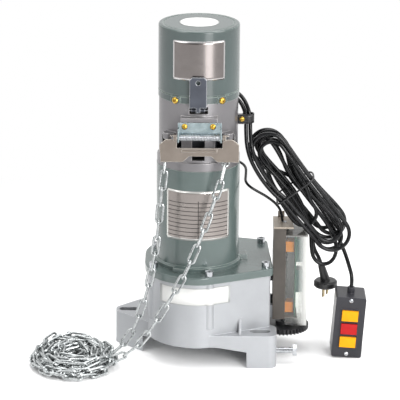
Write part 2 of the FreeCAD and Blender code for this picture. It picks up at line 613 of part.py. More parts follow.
# Stator core and its two winding heads
STATOR_TOP = "(stator_bottom + stator_length)"
stator_core = lathe("stator_core_solid", ("stator_bore", "stator_bottom"),
                    ("tube_radius - tube_wall - seat_fit", "stator_bottom"),
                    ("tube_radius - tube_wall - seat_fit", STATOR_TOP), ("stator_bore", STATOR_TOP))
node(stator_core, "stator_core")


def winding_head(name, bottom):
    top = bottom + " + winding_height"
    return lathe(name, ("winding_inner", bottom), ("winding_outer", bottom), ("winding_outer", top),
                 ("winding_inner", top))


stator_winding = group("stator_winding_set", winding_head("winding_low", "stator_bottom - winding_height"),
                       winding_head("winding_high", STATOR_TOP))
node(stator_winding, "stator_winding")

# Rotor: squirrel cage core on a shaft whose lower end carries the pinion
rotor_core = lathe("rotor_core_solid", ("core_shaft_radius", "stator_bottom"),
                   ("stator_bore - air_gap", "stator_bottom"), ("stator_bore - air_gap", STATOR_TOP),
                   ("core_shaft_radius", STATOR_TOP))
node(rotor_core, "rotor_core")
BRAKE_TOP = "(brake_disc_bottom + brake_disc_width)"
shaft_turned = lathe(
    "rotor_shaft_turned", ("0", "first_gear_bottom - pinion_overlap"),
    ("journal_radius - 0.5", "first_gear_bottom - pinion_overlap"),
    ("journal_radius - 0.5", COVER_TOP + " - lower_bearing_width - 2"),
    ("journal_radius", COVER_TOP + " - lower_bearing_width - 2"), ("journal_radius", COVER_TOP + " + 2"),
    ("core_shaft_radius", COVER_TOP + " + 2"), ("core_shaft_radius", TUBE_TOP + " - 6"),
    ("upper_journal_radius", TUBE_TOP + " - 6"), ("upper_journal_radius", BRAKE_TOP + " + 2"),
    ("0", BRAKE_TOP + " + 2"))
ROTOR_TEETH, FIRST_TEETH = int(value("rotor_teeth")), int(value("first_teeth"))
COUNTER_TEETH, OUTPUT_TEETH = int(value("counter_teeth")), int(value("output_teeth"))
PINION_TEETH, LIMIT_TEETH = int(value("limit_pinion_teeth")), int(value("limit_gear_teeth"))
FIRST_MODULE, SECOND_MODULE, LIMIT_MODULE = values("first_module", "second_module", "limit_module")
rotor_pinion = feature("rotor_pinion", spur_gear(ROTOR_TEETH, FIRST_MODULE,
                                                 value("first_gear_width + 2 * pinion_overlap")))
move(rotor_pinion, z="first_gear_bottom - pinion_overlap")
rotor_shaft = join("rotor_shaft_solid", shaft_turned, rotor_pinion)
node(rotor_shaft, "rotor_shaft")


def bearing(name, inner, outer, width, bottom, x=0, y=0):
    """A ball bearing drawn as one plain ring."""
    ring = cylinder(name + "_ring", outer, width, x, y, bottom)
    bore = cylinder(name + "_bore", inner + " + running_fit", width + " + 2", x, y, bottom + " - 1")
    return cut(name, ring, bore)


shaft_bearings = group(
    "shaft_bearings_set",
    bearing("lower_bearing", "journal_radius", "lower_bearing_radius", "lower_bearing_width",
            COVER_TOP + " - lower_bearing_width - 2"),
    bearing("upper_bearing", "upper_journal_radius", "upper_bearing_radius", "upper_bearing_width", TUBE_TOP),
    bearing("output_bearing", "output_shaft_radius", "output_bearing_radius", "floor_thickness + 5",
            "floor_bottom - 6", "output_x", "output_y"))
node(shaft_bearings, "shaft_bearings")

# Countershaft: a pinion shaft with the large first gear pressed on
COUNTER_LINE = math.atan2(COUNTER_Y, COUNTER_X)
FIRST_TOOTH = meshing_tooth(FIRST_TEETH, ROTOR_TEETH, 0.0, COUNTER_LINE)
first_blank = feature("first_gear_blank", spur_gear(FIRST_TEETH, FIRST_MODULE, value("first_gear_width"),
                                                    FIRST_TOOTH))
move(first_blank, str(COUNTER_X), str(COUNTER_Y), "first_gear_bottom")
first_bore = cylinder("first_gear_bore", "counter_shaft_radius + 2", "40", COUNTER_X, COUNTER_Y,
                      "first_gear_bottom - 10")
node(cut("first_gear_solid", first_blank, first_bore), "first_gear")
counter_journal = cylinder("counter_journal", "counter_shaft_radius",
                           COVER_BOTTOM + " - " + FLOOR_TOP + " + 2 * counter_hole_depth - 1", COUNTER_X,
                           COUNTER_Y, FLOOR_TOP + " - counter_hole_depth + 0.5")
counter_seat = cylinder("counter_seat", "counter_shaft_radius + 2 - seat_fit", "first_gear_width + 4",
                        COUNTER_X, COUNTER_Y, "first_gear_bottom")
counter_collar = cylinder("counter_collar", "counter_shaft_radius + 4",
                          "first_gear_bottom - second_gear_bottom - second_gear_width - pinion_overlap",
                          COUNTER_X, COUNTER_Y, "second_gear_bottom + second_gear_width + pinion_overlap")
counter_pinion = feature("counter_pinion", spur_gear(COUNTER_TEETH, SECOND_MODULE,
                                                     value("second_gear_width + 2 * pinion_overlap")))
move(counter_pinion, str(COUNTER_X), str(COUNTER_Y), "second_gear_bottom - pinion_overlap")
node(join("countershaft_solid", counter_journal, counter_seat, counter_collar, counter_pinion),
     "countershaft")

# Output shaft with its gear inside, and the limit pinion and chain sprocket under the gearbox
OUTPUT_LINE = math.atan2(OUTPUT_Y - COUNTER_Y, OUTPUT_X - COUNTER_X)
OUTPUT_TOOTH = meshing_tooth(OUTPUT_TEETH, COUNTER_TEETH, 0.0, OUTPUT_LINE)
output_blank = feature("output_gear_blank", spur_gear(OUTPUT_TEETH, SECOND_MODULE, value("second_gear_width"),
                                                      OUTPUT_TOOTH))
move(output_blank, "output_x", "output_y", "second_gear_bottom")
output_gear_bore = cylinder("output_gear_bore", "output_shaft_radius + 2", "60", "output_x", "output_y", "30")
node(cut("output_gear_solid", output_blank, output_gear_bore), "output_gear")
output_journal = cylinder("output_journal", "output_shaft_radius", "second_gear_bottom - shaft_end - 1",
                          "output_x", "output_y", "shaft_end")
output_seat = cylinder("output_seat", "output_shaft_radius + 2 - seat_fit", "second_gear_width + 3",
                       "output_x", "output_y", "second_gear_bottom - 1")
output_top = cylinder("output_top", "output_top_radius",
                      COVER_BOTTOM + " + counter_hole_depth - second_gear_bottom - second_gear_width - 3",
                      "output_x", "output_y", "second_gear_bottom + second_gear_width + 1")
node(join("output_shaft_solid", output_journal, output_seat, output_top), "output_shaft")
limit_pinion_blank = feature("limit_pinion_blank", spur_gear(PINION_TEETH, LIMIT_MODULE,
                                                             value("limit_gear_width + 1")))
move(limit_pinion_blank, "output_x", "output_y", "limit_gear_bottom - 0.5")
limit_pinion_bore = cylinder("limit_pinion_bore", "output_shaft_radius + seat_fit", "60", "output_x",
                             "output_y", "0")
node(cut("limit_pinion_solid", limit_pinion_blank, limit_pinion_bore), "limit_pinion")


def sprocket_shape():
    """A chain sprocket: a toothed disc with round roller seats on a hub."""
    teeth = int(value("sprocket_teeth"))
    pitch_radius = value("chain_pitch") / (2 * math.sin(math.pi / teeth))
    roller, width, hub = values("chain_roller_radius", "sprocket_width", "sprocket_hub_radius")
    disc = Part.makeCylinder(pitch_radius + roller * 0.75, width)
    seats = [Part.makeCylinder(roller, width + 2,
                               FreeCAD.Vector(pitch_radius * math.cos(2 * math.pi * tooth / teeth),
                                              pitch_radius * math.sin(2 * math.pi * tooth / teeth), -1))
             for tooth in range(teeth)]
    hub_solid = Part.makeCylinder(hub, value("limit_gear_bottom - 0.5 - sprocket_bottom"))
    return disc.cut(Part.makeCompound(seats)).fuse(hub_solid).removeSplitter()


sprocket_blank = move(feature("sprocket_blank", sprocket_shape()), "output_x", "output_y", "sprocket_bottom")
sprocket_bore = cylinder("sprocket_bore", "output_shaft_radius + seat_fit", "60", "output_x", "output_y", "0")
node(cut("drive_sprocket_solid", sprocket_blank, sprocket_bore), "drive_sprocket")

# Chain housing: a turned casting with windows for the hand chain and flat bosses on its front and side
housing_turned = lathe(
    "chain_housing_turned", ("0", TUBE_TOP), ("ring_radius", TUBE_TOP),
    ("ring_radius", TUBE_TOP + " + ring_height - 1"),
    ("ring_radius - 1", TUBE_TOP + " + ring_height"), ("chain_housing_radius", TUBE_TOP + " + ring_height"),
    ("chain_housing_radius", CHAIN_TOP), ("chain_housing_radius - chain_housing_wall", CHAIN_TOP),
    ("chain_housing_radius - chain_housing_wall", TUBE_TOP + " + chain_housing_floor"),
    ("0", TUBE_TOP + " + chain_housing_floor"))
bracket_boss = block("bracket_boss", "bracket_boss_right - bracket_boss_left", "12",
                     "bracket_boss_top - bracket_boss_bottom", "bracket_boss_left", "bracket_boss_front",
                     "bracket_boss_bottom")
clip_boss = block("clip_boss", "clip_boss_reach - chain_housing_radius + 3", "clip_boss_width",
                  "clip_boss_top - clip_boss_bottom", "chain_housing_radius - 3", "-clip_boss_width / 2",
                  "clip_boss_bottom")
window_hoods = [cylinder("window_hood_" + side, "hood_radius", "hood_height",
                         sign + "hood_across * chain_housing_radius", "-hood_ahead * chain_housing_radius",
                         "chain_window_top - hood_overlap") for side, sign in (("left", "-"),
                                                                               ("right", ""))]
chain_room = cylinder("chain_room", "chain_housing_radius - chain_housing_wall",
                      "chain_housing_height + 10", "0", "0", TUBE_TOP + " + chain_housing_floor")
cable_boss = block("cable_boss", "cable_boss_right - cable_boss_left",
                   "cable_boss_back - chain_housing_radius + 6", "cable_boss_top - cable_boss_bottom",
                   "cable_boss_left", "chain_housing_radius - 6", "cable_boss_bottom")
window_width = "chain_window_outer - chain_window_inner"
chain_windows = [block("chain_window_" + side, window_width, "60", "chain_window_top - chain_window_bottom",
                       left, "-60", "chain_window_bottom")
                 for side, left in (("left", "-chain_window_outer"), ("right", "chain_window_inner"))]
centre_window = block("centre_window", "centre_window_width", "30", "chain_window_top - centre_window_bottom",
                      "-centre_window_width / 2", "-60", "centre_window_bottom")
lever_slot = block("lever_slot", "lever_slot_right - lever_slot_left", "30",
                   "lever_slot_top - lever_slot_bottom", "lever_slot_left", "-60", "lever_slot_bottom")
upper_seat = cylinder("upper_seat", "upper_bearing_radius + seat_fit", "upper_bearing_width", "0", "0",
                      TUBE_TOP)
upper_hole = cylinder("upper_hole", "upper_journal_radius + 2", "40", "0", "0", TUBE_TOP + " - 5")
bracket_screw_holes = [cylinder("bracket_screw_hole_" + side, "bracket_screw_radius + thread_fit", "9",
                                "bracket_screw_" + side, "bracket_boss_front - 2", "bracket_screw_height",
                                "y") for side in ("left", "right")]
CLIP_SCREW_X = "clip_boss_reach - clip_screw_inset"
CLIP_FACE = "-clip_boss_width / 2 - clip_wall"
CLIP_SCREW_Z = "(clip_boss_bottom + 1 + clip_height / 2)"
clip_screw_hole = cylinder("clip_screw_hole", "clip_screw_radius + thread_fit", "9", CLIP_SCREW_X,
                           CLIP_FACE + " - 1", CLIP_SCREW_Z, "y")
lever_pin_hole = cylinder("lever_pin_hole", "lever_pin_radius + seat_fit",
                          "lever_slot_right - lever_slot_left + 2 * lever_pin_seat + cut_past",
                          "lever_slot_left - lever_pin_seat - cut_past / 2", "lever_pin_y",
                          "lever_pin_height", "x")


def radial_cylinder(name, radius, length, start_radius, angle):
    """A rod at the cap screws' height, from the given radius straight in towards the motor axis."""
    rod = doc.addObject("Part::Cylinder", name)
    bind(rod, Radius=radius, Height=length)
    rod.Placement = radial_place(angle, value(start_radius))
    return rod


def radial_place(angle, radius):
    turn = FreeCAD.Rotation(FreeCAD.Vector(0, 0, 1), angle + 90).multiply(TURNS["y"])
    start = turn.multVec(FreeCAD.Vector(0, 0, -radius))
    return FreeCAD.Placement(start + FreeCAD.Vector(0, 0, value("cap_bottom + cap_screw_height")), turn)


def cap_screw_hole(name, angle, clearance):
    """A hole for a cap screw, through the cap skirt and the housing rim."""
    return radial_cylinder(name, "cap_screw_radius + " + clearance, "cap_screw_length + 4",
                           SCREW_FACE + " + 1", angle)


SCREW_FACE = "cap_radius + tab_proud"
CAP_ANGLES = {"left": -90 - value("cap_screw_angle"), "right": -90 + value("cap_screw_angle"),
              "back_left": 90 + value("cap_screw_angle"), "back_right": 90 - value("cap_screw_angle")}
ROOM_RADIUS = "chain_room_radius"
RIM_RADIUS = "cap_radius - cap_wall - slide_gap"
housing_rim = lathe("housing_rim", (ROOM_RADIUS + " - 1", CHAIN_TOP + " - 1"),
                    (RIM_RADIUS, CHAIN_TOP + " - 1"), (RIM_RADIUS, CHAIN_TOP + " + 7"),
                    (ROOM_RADIUS + " - 1", CHAIN_TOP + " + 7"))
cap_screw_holes = [cap_screw_hole("cap_screw_hole_" + spot, angle, "thread_fit") for spot,
                   angle in CAP_ANGLES.items()]
chain_cast = join("chain_cast", housing_turned, bracket_boss, clip_boss, cable_boss, housing_rim,
                  *window_hoods)
chain_housing = cut("chain_housing_solid", chain_cast, chain_room, centre_window, lever_slot, upper_seat,
                    upper_hole, clip_screw_hole, lever_pin_hole, *chain_windows, *bracket_screw_holes,
                    *cap_screw_holes)
node(chain_housing, "chain_housing")

# Hand chain wheel: two rims and a grooved drum with pockets for the links, free on the rotor shaft
wheel_turned = lathe(
    "wheel_turned", ("upper_journal_radius + running_fit", "wheel_bottom"), ("wheel_radius", "wheel_bottom"),
    ("wheel_radius", "wheel_bottom + wheel_rim"), ("wheel_groove_radius", "wheel_bottom + wheel_rim + 5"),
    ("wheel_groove_radius", "wheel_bottom + wheel_width - wheel_rim - 5"),
    ("wheel_radius", "wheel_bottom + wheel_width - wheel_rim"), ("wheel_radius", "wheel_bottom + wheel_width"),
    ("upper_journal_radius + running_fit", "wheel_bottom + wheel_width"))


def wheel_pocket(name, angle):
    pocket = block(name, "wheel_radius", "wheel_pocket_width", "wheel_width - 2 * wheel_rim - 4")
    turn = math.radians(angle)
    radius, half = values("wheel_groove_radius - wheel_pocket_depth", "wheel_pocket_width / 2")
    pocket.Placement = FreeCAD.Placement(FreeCAD.Vector(radius * math.cos(turn) + half * math.sin(turn),
                                                        radius * math.sin(turn) - half * math.cos(turn),
                                                        value("wheel_bottom + wheel_rim + 2")),
                                         FreeCAD.Rotation(FreeCAD.Vector(0, 0, 1), angle))
    return pocket


POCKETS = int(value("wheel_pockets"))
pockets = [wheel_pocket("wheel_pocket_%d" % pocket, 360.0 * pocket / POCKETS) for pocket in range(POCKETS)]
node(cut("hand_chain_wheel_solid", wheel_turned, *pockets), "hand_chain_wheel")

# Brake: a lined disc on the shaft, an armature plate above it and the coil that pulls the plate
brake_disc = lathe("brake_disc_solid", ("upper_journal_radius + seat_fit", "brake_disc_bottom"),
                   ("brake_radius", "brake_disc_bottom"), ("brake_radius", BRAKE_TOP),
                   ("upper_journal_radius + seat_fit", BRAKE_TOP))
node(brake_disc, "brake_disc")
armature = lathe("brake_armature_solid", ("upper_journal_radius + 3", "armature_bottom"),
                 ("coil_radius - 1", "armature_bottom"), ("coil_radius - 1",
                                                          "armature_bottom + armature_width"),
                 ("upper_journal_radius + 3", "armature_bottom + armature_width"))
node(armature, "brake_armature")
COIL_SEAT = ROOM_RADIUS + " - seat_fit"
coil_turned = lathe("brake_coil_turned", ("coil_bore", "coil_bottom"), (COIL_SEAT, "coil_bottom"),
                    (COIL_SEAT, "coil_bottom + coil_flange"), ("coil_radius", "coil_bottom + coil_flange"),
                    ("coil_radius", "coil_bottom + coil_height"), ("coil_bore", "coil_bottom + coil_height"))
node(coil_turned, "brake_coil")
node(cylinder("run_capacitor_solid", "capacitor_radius", "capacitor_height", "0", "capacitor_y",
              "coil_bottom + coil_height"), "run_capacitor")

# Top cap: a painted cup with a seam near its lower edge, a stepped top and four screw tabs
CAP_TOP = "(cap_bottom + cap_height)"
cap_turned = lathe(
    "cap_turned", ("cap_radius - cap_wall", "cap_bottom"), ("cap_radius", "cap_bottom"),
    ("cap_radius", "cap_bottom + cap_seam - seam_width"),
    ("cap_radius - seam_depth", "cap_bottom + cap_seam - seam_width"),
    ("cap_radius - seam_depth", "cap_bottom + cap_seam"), ("cap_radius", "cap_bottom + cap_seam"),
    ("cap_radius", CAP_TOP + " - cap_edge_round"),
    ("cap_radius - 0.3 * cap_edge_round", CAP_TOP + " - 0.3 * cap_edge_round"),
    ("cap_radius - cap_edge_round", CAP_TOP), ("cap_step_radius + cap_step_width + cap_step_slope", CAP_TOP),
    ("cap_step_radius + cap_step_width", CAP_TOP + " - cap_step"), ("cap_step_radius", CAP_TOP + " - cap_step"),
    ("cap_step_radius - cap_step_width", CAP_TOP), ("0", CAP_TOP), ("0", CAP_TOP + " - cap_wall"),
    ("cap_radius - cap_wall", CAP_TOP + " - cap_wall"))
# A round pad on the skirt lies under each cap screw
tabs = [radial_cylinder("cap_tab_" + spot, "tab_radius", "tab_proud + 1.2", SCREW_FACE, angle)
        for spot, angle in CAP_ANGLES.items()]
tab_limit = cylinder("tab_limit", "cap_radius + 10", "cap_seam - seam_width", "0", "0", "cap_bottom")
cap_hollow = cylinder("cap_hollow", "cap_radius - cap_wall", "cap_height - cap_wall", "0", "0", "cap_bottom")
tab_ring = doc.addObject("Part::MultiCommon", "tab_ring")
tab_ring.Shapes = [join("tab_set", *tabs), tab_limit]
top_cap = cut("top_cap_solid", join("cap_body", cap_turned, tab_ring), cap_hollow,
              *[cap_screw_hole("cap_clear_hole_" + spot, angle, "0.2") for spot, angle in CAP_ANGLES.items()])
node(top_cap, "top_cap")


def cap_screw(name, angle):
    """A pan head screw through the cap's skirt."""
    shank = radial_cylinder(name + "_shank", "cap_screw_radius", "cap_screw_length", SCREW_FACE, angle)
    pan = doc.addObject("Part::Cone", name + "_pan")
    bind(pan, Radius1="cap_screw_head_radius * 0.75", Radius2="cap_screw_head_radius",
         Height="cap_screw_head")
    pan.Placement = radial_place(angle, value(SCREW_FACE + " + cap_screw_head"))
    return join(name, shank, pan)


node(group("cap_screws_set", *[cap_screw("cap_screw_" + spot, angle) for spot, angle in CAP_ANGLES.items()]),
     "cap_screws")

# Release lever: a folded plate outside, pinned in the slot, whose short arm lifts the armature
lever_outline = sketch("lever_outline", polygon(values("lever_left", "lever_bottom + lever_neck_rise"),
                                                values("lever_right", "lever_bottom + lever_neck_rise"),
                                                values("lever_right", "lever_top - lever_chamfer"),
                                                values("lever_right - lever_chamfer", "lever_top"),
                                                values("lever_left + lever_chamfer", "lever_top"),
                                                values("lever_left", "lever_top - lever_chamfer")), "xz")
lever_plate = place(extrude("lever_plate", lever_outline, "lever_thickness"), y="lever_back")
NECK_LEFT = "(lever_left + lever_right - lever_neck_width) / 2"
lever_neck = block("lever_neck", "lever_neck_width", "lever_thickness", "lever_neck_rise + lever_thickness",
                   NECK_LEFT, "lever_back - lever_thickness", "lever_bottom")
lever_arm = block("lever_arm", "lever_neck_width", "lever_arm_reach - lever_back + lever_thickness",
                  "lever_arm_thickness", NECK_LEFT, "lever_back - lever_thickness", "lever_bottom")
lever_eye = cylinder("lever_eye", "lever_pin_radius + lever_eye_wall",
                     "lever_right - lever_left - 2 * lever_eye_inset", "lever_left + lever_eye_inset",
                     "lever_pin_y", "lever_pin_height", "x")
lever_hole = cylinder("lever_hole", "lever_hole_radius", "3 * lever_thickness",
                      "(lever_left + lever_right) / 2", "lever_back - 2 * lever_thickness",
                      "lever_hole_height", "y")
lever_bore = cylinder("lever_bore", "lever_pin_radius + running_fit", "lever_right - lever_left",
                      "lever_left", "lever_pin_y", "lever_pin_height", "x")
node(cut("release_lever_solid", join("lever_body", lever_plate, lever_neck, lever_arm, lever_eye),
         lever_hole, lever_bore), "release_lever")
node(cylinder("lever_pin_solid", "lever_pin_radius",
              "lever_slot_right - lever_slot_left + 2 * lever_pin_seat", "lever_slot_left - lever_pin_seat",
              "lever_pin_y", "lever_pin_height", "x"), "lever_pin")

# Guide bracket: a plated channel screwed to the front boss, whose ears carry the hinge pin
bracket_back = block("bracket_back", "bracket_right - bracket_left", "sheet_thickness",
                     "bracket_top - bracket_bottom", "bracket_left", "bracket_boss_front - sheet_thickness",
                     "bracket_bottom")
ear_depth = "bracket_boss_front - hinge_y + knuckle_radius"
bracket_ears = [block("bracket_ear_" + side, "sheet_thickness", ear_depth,
                      "bracket_top - bracket_bottom - bracket_ear_drop", left, "hinge_y - knuckle_radius",
                      "bracket_bottom") for side, left in (("left", "bracket_left"),
                                                           ("right", "bracket_right - sheet_thickness"))]
bracket_pin_hole = cylinder("bracket_pin_hole", "pin_radius + seat_fit", "120", "-60", "hinge_y", "hinge_z",
                            "x")
node(cut("guide_bracket_solid", join("bracket_body", bracket_back, *bracket_ears), bracket_pin_hole,
         *bracket_screw_holes), "guide_bracket")


def front_screw(name, x, face, height, radius, head_radius, head, length):
    """A pan head screw facing the front."""
    shank = cylinder(name + "_shank", radius, length, x, face, height, "y")
    pan = cylinder(name + "_pan", head_radius, head, x, face + " - " + head, height, "y")
    return join(name, shank, pan)


BRACKET_FACE = "bracket_boss_front - sheet_thickness"
node(group("bracket_screws_set", *[front_screw("bracket_screw_" + side, "bracket_screw_" + side,
                                               BRACKET_FACE, "bracket_screw_height", "bracket_screw_radius",
                                               "bracket_screw_head_radius", "bracket_screw_head",
                                               "front_screw_length") for side in ("left", "right")]),
     "bracket_screws")
PIN_LEFT = "bracket_left - knuckle_length - pin_end"
PIN_LENGTH = "bracket_right - bracket_left + 2 * (knuckle_length + pin_end)"
node(cylinder("guide_pin_solid", "pin_radius", PIN_LENGTH, PIN_LEFT, "hinge_y", "hinge_z", "x"), "guide_pin")


def spring_shape():
    """The close coils of the torsion spring as a ribbed sleeve round the hinge pin."""
    coils = int(value("spring_coils"))
    inner, wire = values("spring_inner", "spring_wire")
    left, right = values("bracket_left + sheet_thickness + slide_gap",
                         "bracket_right - sheet_thickness - slide_gap")
    pitch = (right - left) / coils
    corners = [(left, inner)]
    for coil in range(coils):
        corners += [(left + coil * pitch, inner + 0.5 * wire), (left + (coil + 0.5) * pitch, inner + wire)]
    corners += [(right, inner + 0.5 * wire), (right, inner)]
    points = [FreeCAD.Vector(x, 0, radius) for x, radius in corners]
    face = Part.Face(Part.makePolygon(points + points[:1]))
    return face.revolve(FreeCAD.Vector(), FreeCAD.Vector(1, 0, 0), 360)


node(move(feature("guide_spring_solid", spring_shape()), "0", "hinge_y", "hinge_z"), "guide_spring")

# Guide plate: a bent sheet with wings over the chain windows, swinging on the pin
plate_outline = sketch("plate_outline", polygon(
    values("plate_top_left", "plate_top"), values("plate_left", "plate_shoulder"),
    values("plate_left + 1.5", "plate_bottom"), values("plate_notch_left - plate_notch_slope", "plate_bottom"),
    values("plate_notch_left", "plate_notch_height"), values("plate_notch_right", "plate_notch_height"),
    values("plate_notch_right + plate_notch_slope", "plate_bottom"), values("plate_right", "plate_bottom"),
    values("plate_right", "plate_shoulder"), values("plate_top_right", "plate_top"),
    values("bracket_right + guide_side_gap", "plate_top"),
    values("bracket_right + guide_side_gap", "plate_opening"),
    values("bracket_left - guide_side_gap", "plate_opening"),
    values("bracket_left - guide_side_gap", "plate_top")), "xz")
plate_sheet = place(extrude("plate_sheet", plate_outline, "sheet_thickness"),
                    y="hinge_y + sheet_thickness / 2")
plate_knuckles = [cylinder("plate_knuckle_" + side, "knuckle_radius", "knuckle_length", left, "hinge_y",
                           "hinge_z", "x") for side,
                  left in (("left", "bracket_left - guide_side_gap - knuckle_length"),
                           ("right", "bracket_right + guide_side_gap"))]
plate_bead = cylinder("plate_bead", "bead_radius", "bead_right - bead_left", "bead_left",
                      "hinge_y - sheet_thickness / 2", "bead_height", "x")
plate_bore = cylinder("plate_bore", "pin_radius + running_fit", "140", "-70", "hinge_y", "hinge_z", "x")
node(cut("guide_plate_solid", join("plate_body", plate_sheet, plate_bead, *plate_knuckles), plate_bore),
     "guide_plate")

# Limit unit: a folded tray and a top plate on posts from the gearbox wall, with a clear cover over the works
TRAY_RIGHT = "(tray_left + tray_depth)"
TRAY_BACK = "(tray_front + tray_width)"
tray_block = block("tray_block", "tray_depth", "tray_width", "tray_top - tray_bottom", "tray_left",
                   "tray_front", "tray_bottom")
tray_space = block("tray_space", "tray_depth", "tray_width - 2 * tray_wall",
                   "tray_top - tray_bottom - 2 * tray_wall", "tray_left + tray_wall",
                   "tray_front + tray_wall", "tray_bottom + tray_wall")
tray_screw_hole = cylinder("tray_screw_hole", "screw_end_radius + running_fit", "200", LIMIT_X, LIMIT_Y, "30")
tray_tongue = block("tray_tongue", "tongue_length", "tray_width - 4 * tray_wall", "tray_wall", TRAY_RIGHT,
                    "tray_front + 2 * tray_wall", "tray_bottom")
node(cut("limit_tray_solid", join("tray_body", tray_block, tray_tongue), tray_space, tray_screw_hole),
     "limit_tray")
plate_base = block("limit_plate_base", "top_plate_reach", "tray_width", "top_plate_thickness", "tray_left",
                   "tray_front", "tray_top")
plate_tab = block("limit_plate_tab", "top_plate_tab_width", "top_plate_thickness", "top_plate_tab",
                  "tray_left + 6", TRAY_BACK + " - top_plate_thickness", "tray_top")
node(cut("limit_top_plate_solid", join("limit_plate_body", plate_base, plate_tab), tray_screw_hole),
     "limit_top_plate")
limit_cover_block = block("limit_cover_block", "limit_cover_depth", "tray_width",
                          "limit_cover_top - limit_cover_bottom", TRAY_RIGHT, "tray_front",
                          "limit_cover_bottom")
limit_cover_space = block("limit_cover_space", "limit_cover_depth - limit_cover_wall",
                          "tray_width - 2 * limit_cover_wall",
                          "limit_cover_top - limit_cover_bottom - 2 * limit_cover_wall", TRAY_RIGHT,
                          "tray_front + limit_cover_wall", "limit_cover_bottom + limit_cover_wall")
limit_cover_notch = cylinder("limit_cover_notch", "screw_radius + 1.5", "200", LIMIT_X, LIMIT_Y, "20")
node(cut("limit_cover_solid", limit_cover_block, limit_cover_space, limit_cover_notch), "limit_cover")

# Lead screw with the large black gear under the unit, and two nuts that trip the switches
LIMIT_LINE = math.atan2(LIMIT_Y - OUTPUT_Y, LIMIT_X - OUTPUT_X)
LIMIT_TOOTH = meshing_tooth(LIMIT_TEETH, PINION_TEETH, 0.0, LIMIT_LINE)
limit_blank = feature("limit_gear_blank", spur_gear(LIMIT_TEETH, LIMIT_MODULE, value("limit_gear_width"),
                                                    LIMIT_TOOTH))
move(limit_blank, str(LIMIT_X), str(LIMIT_Y), "limit_gear_bottom")
limit_hub = cylinder("limit_hub", "screw_radius + 5", "3.4", LIMIT_X, LIMIT_Y,
                     "limit_gear_bottom + limit_gear_width")
limit_gear_bore = cylinder("limit_gear_bore", "screw_end_radius + seat_fit", "60", LIMIT_X, LIMIT_Y, "0")
node(cut("limit_gear_solid", join("limit_gear_body", limit_blank, limit_hub), limit_gear_bore), "limit_gear")
screw_low_end = cylinder("screw_low_end", "screw_end_radius",
                         "tray_bottom + tray_wall + 0.5 - limit_gear_bottom", LIMIT_X, LIMIT_Y,
                         "limit_gear_bottom")
SCREW_BOTTOM = "tray_bottom + tray_wall + 0.5"
screw_thread = cylinder("screw_thread", "screw_radius",
                        "tray_top - tray_wall - 0.5 - (" + SCREW_BOTTOM + ")", LIMIT_X, LIMIT_Y,
                        SCREW_BOTTOM)
screw_top_end = cylinder("screw_top_end", "screw_end_radius", "tray_wall + top_plate_thickness + 1",
                         LIMIT_X, LIMIT_Y, "tray_top - tray_wall - 0.5")
node(join("limit_screw_solid", screw_low_end, screw_thread, screw_top_end), "limit_screw")


def limit_nut(name, bottom):
    """An orange nut block on the lead screw."""
    body = block(name + "_block", "nut_back + nut_reach", "nut_width", "nut_height",
                 "%f - nut_back" % LIMIT_X, "%f - nut_width / 2" % LIMIT_Y, bottom)
    bore = cylinder(name + "_bore", "screw_radius + running_fit", "60", LIMIT_X, LIMIT_Y, bottom + " - 20")
    return cut(name, body, bore)


node(limit_nut("limit_nut_low_solid", "nut_low"), "limit_nut_low")
node(limit_nut("limit_nut_high_solid", "nut_high"), "limit_nut_high")
BOARD_LEFT = "(%f + board_gap)" % LIMIT_X
BOARD_BOTTOM = "(tray_bottom + tray_wall)"
switch_board = block("switch_board_solid", "board_thickness", "board_width", "board_top - " + BOARD_BOTTOM,
                     BOARD_LEFT, "%f - board_width / 2" % LIMIT_Y, BOARD_BOTTOM)
node(switch_board, "switch_board")
limit_switches = group("limit_switches_set", *[block("limit_switch_" + spot, "switch_depth", "switch_width",
                                                     "switch_height", BOARD_LEFT + " + board_thickness",
                                                     "%f - switch_width / 2" % LIMIT_Y, "switch_" + spot)
                                               for spot in ("low", "high")])
node(limit_switches, "limit_switches")
HIGH_POST = COVER_BOTTOM + " - post_height - post_drop"


def limit_post(name, y, z):
    """A spacer between the gearbox wall and the tray, trimmed to the wall."""
    bar = block(name + "_bar", "12", "post_width", "post_height", "tray_left - 12", y, z)
    return cut(name, bar, slab(name + "_wall", wall_outline, "0", COVER_BOTTOM))


node(group("limit_posts_set", limit_post("limit_post_front", "tray_front + 1", "tray_bottom + 2"),
           limit_post("limit_post_back", TRAY_BACK + " - post_width - 1", "tray_bottom + 2"),
           limit_post("limit_post_high", "tray_front + tray_width / 2", HIGH_POST)), "limit_posts")

# Tension bolt: a hexagon screw in the right foot that bears on the fixing bolt in the slot
bolt_shank = cylinder("bolt_shank", "bolt_radius", "bolt_head_x - bolt_tip_x", "bolt_tip_x", "right_foot_y",
                      "bolt_height", "x")
bolt_hex = doc.addObject("Part::Prism", "bolt_hex")
bolt_hex.Placement = FreeCAD.Placement(FreeCAD.Vector(), TURNS["x"])
bind(bolt_hex, Circumradius="bolt_flats / 2 / cos(30)", Height="bolt_head")
place(bolt_hex, "bolt_head_x", "right_foot_y", "bolt_height")
node(join("tension_bolt_solid", bolt_shank, bolt_hex), "tension_bolt")

# Cable clip: a black loop with a tab screwed to the side boss
clip_ring = cylinder("clip_ring", "clip_inner + clip_wall", "clip_height", "clip_x", "clip_y",
                     "clip_boss_bottom + 1")
clip_tab = block("clip_tab", "clip_x - clip_boss_reach + 2 * clip_screw_inset", "clip_wall", "clip_height",
                 "clip_boss_reach - 2 * clip_screw_inset", CLIP_FACE, "clip_boss_bottom + 1")
clip_space = cylinder("clip_space", "clip_inner", "60", "clip_x", "clip_y", "clip_boss_bottom - 20")
node(cut("cable_clip_solid", join("clip_body", clip_ring, clip_tab), clip_space, clip_screw_hole),
     "cable_clip")
node(front_screw("clip_screw_solid", CLIP_SCREW_X, CLIP_FACE, CLIP_SCREW_Z, "clip_screw_radius",
                 "clip_screw_head_radius", "clip_screw_head", "front_screw_length"), "clip_screw")


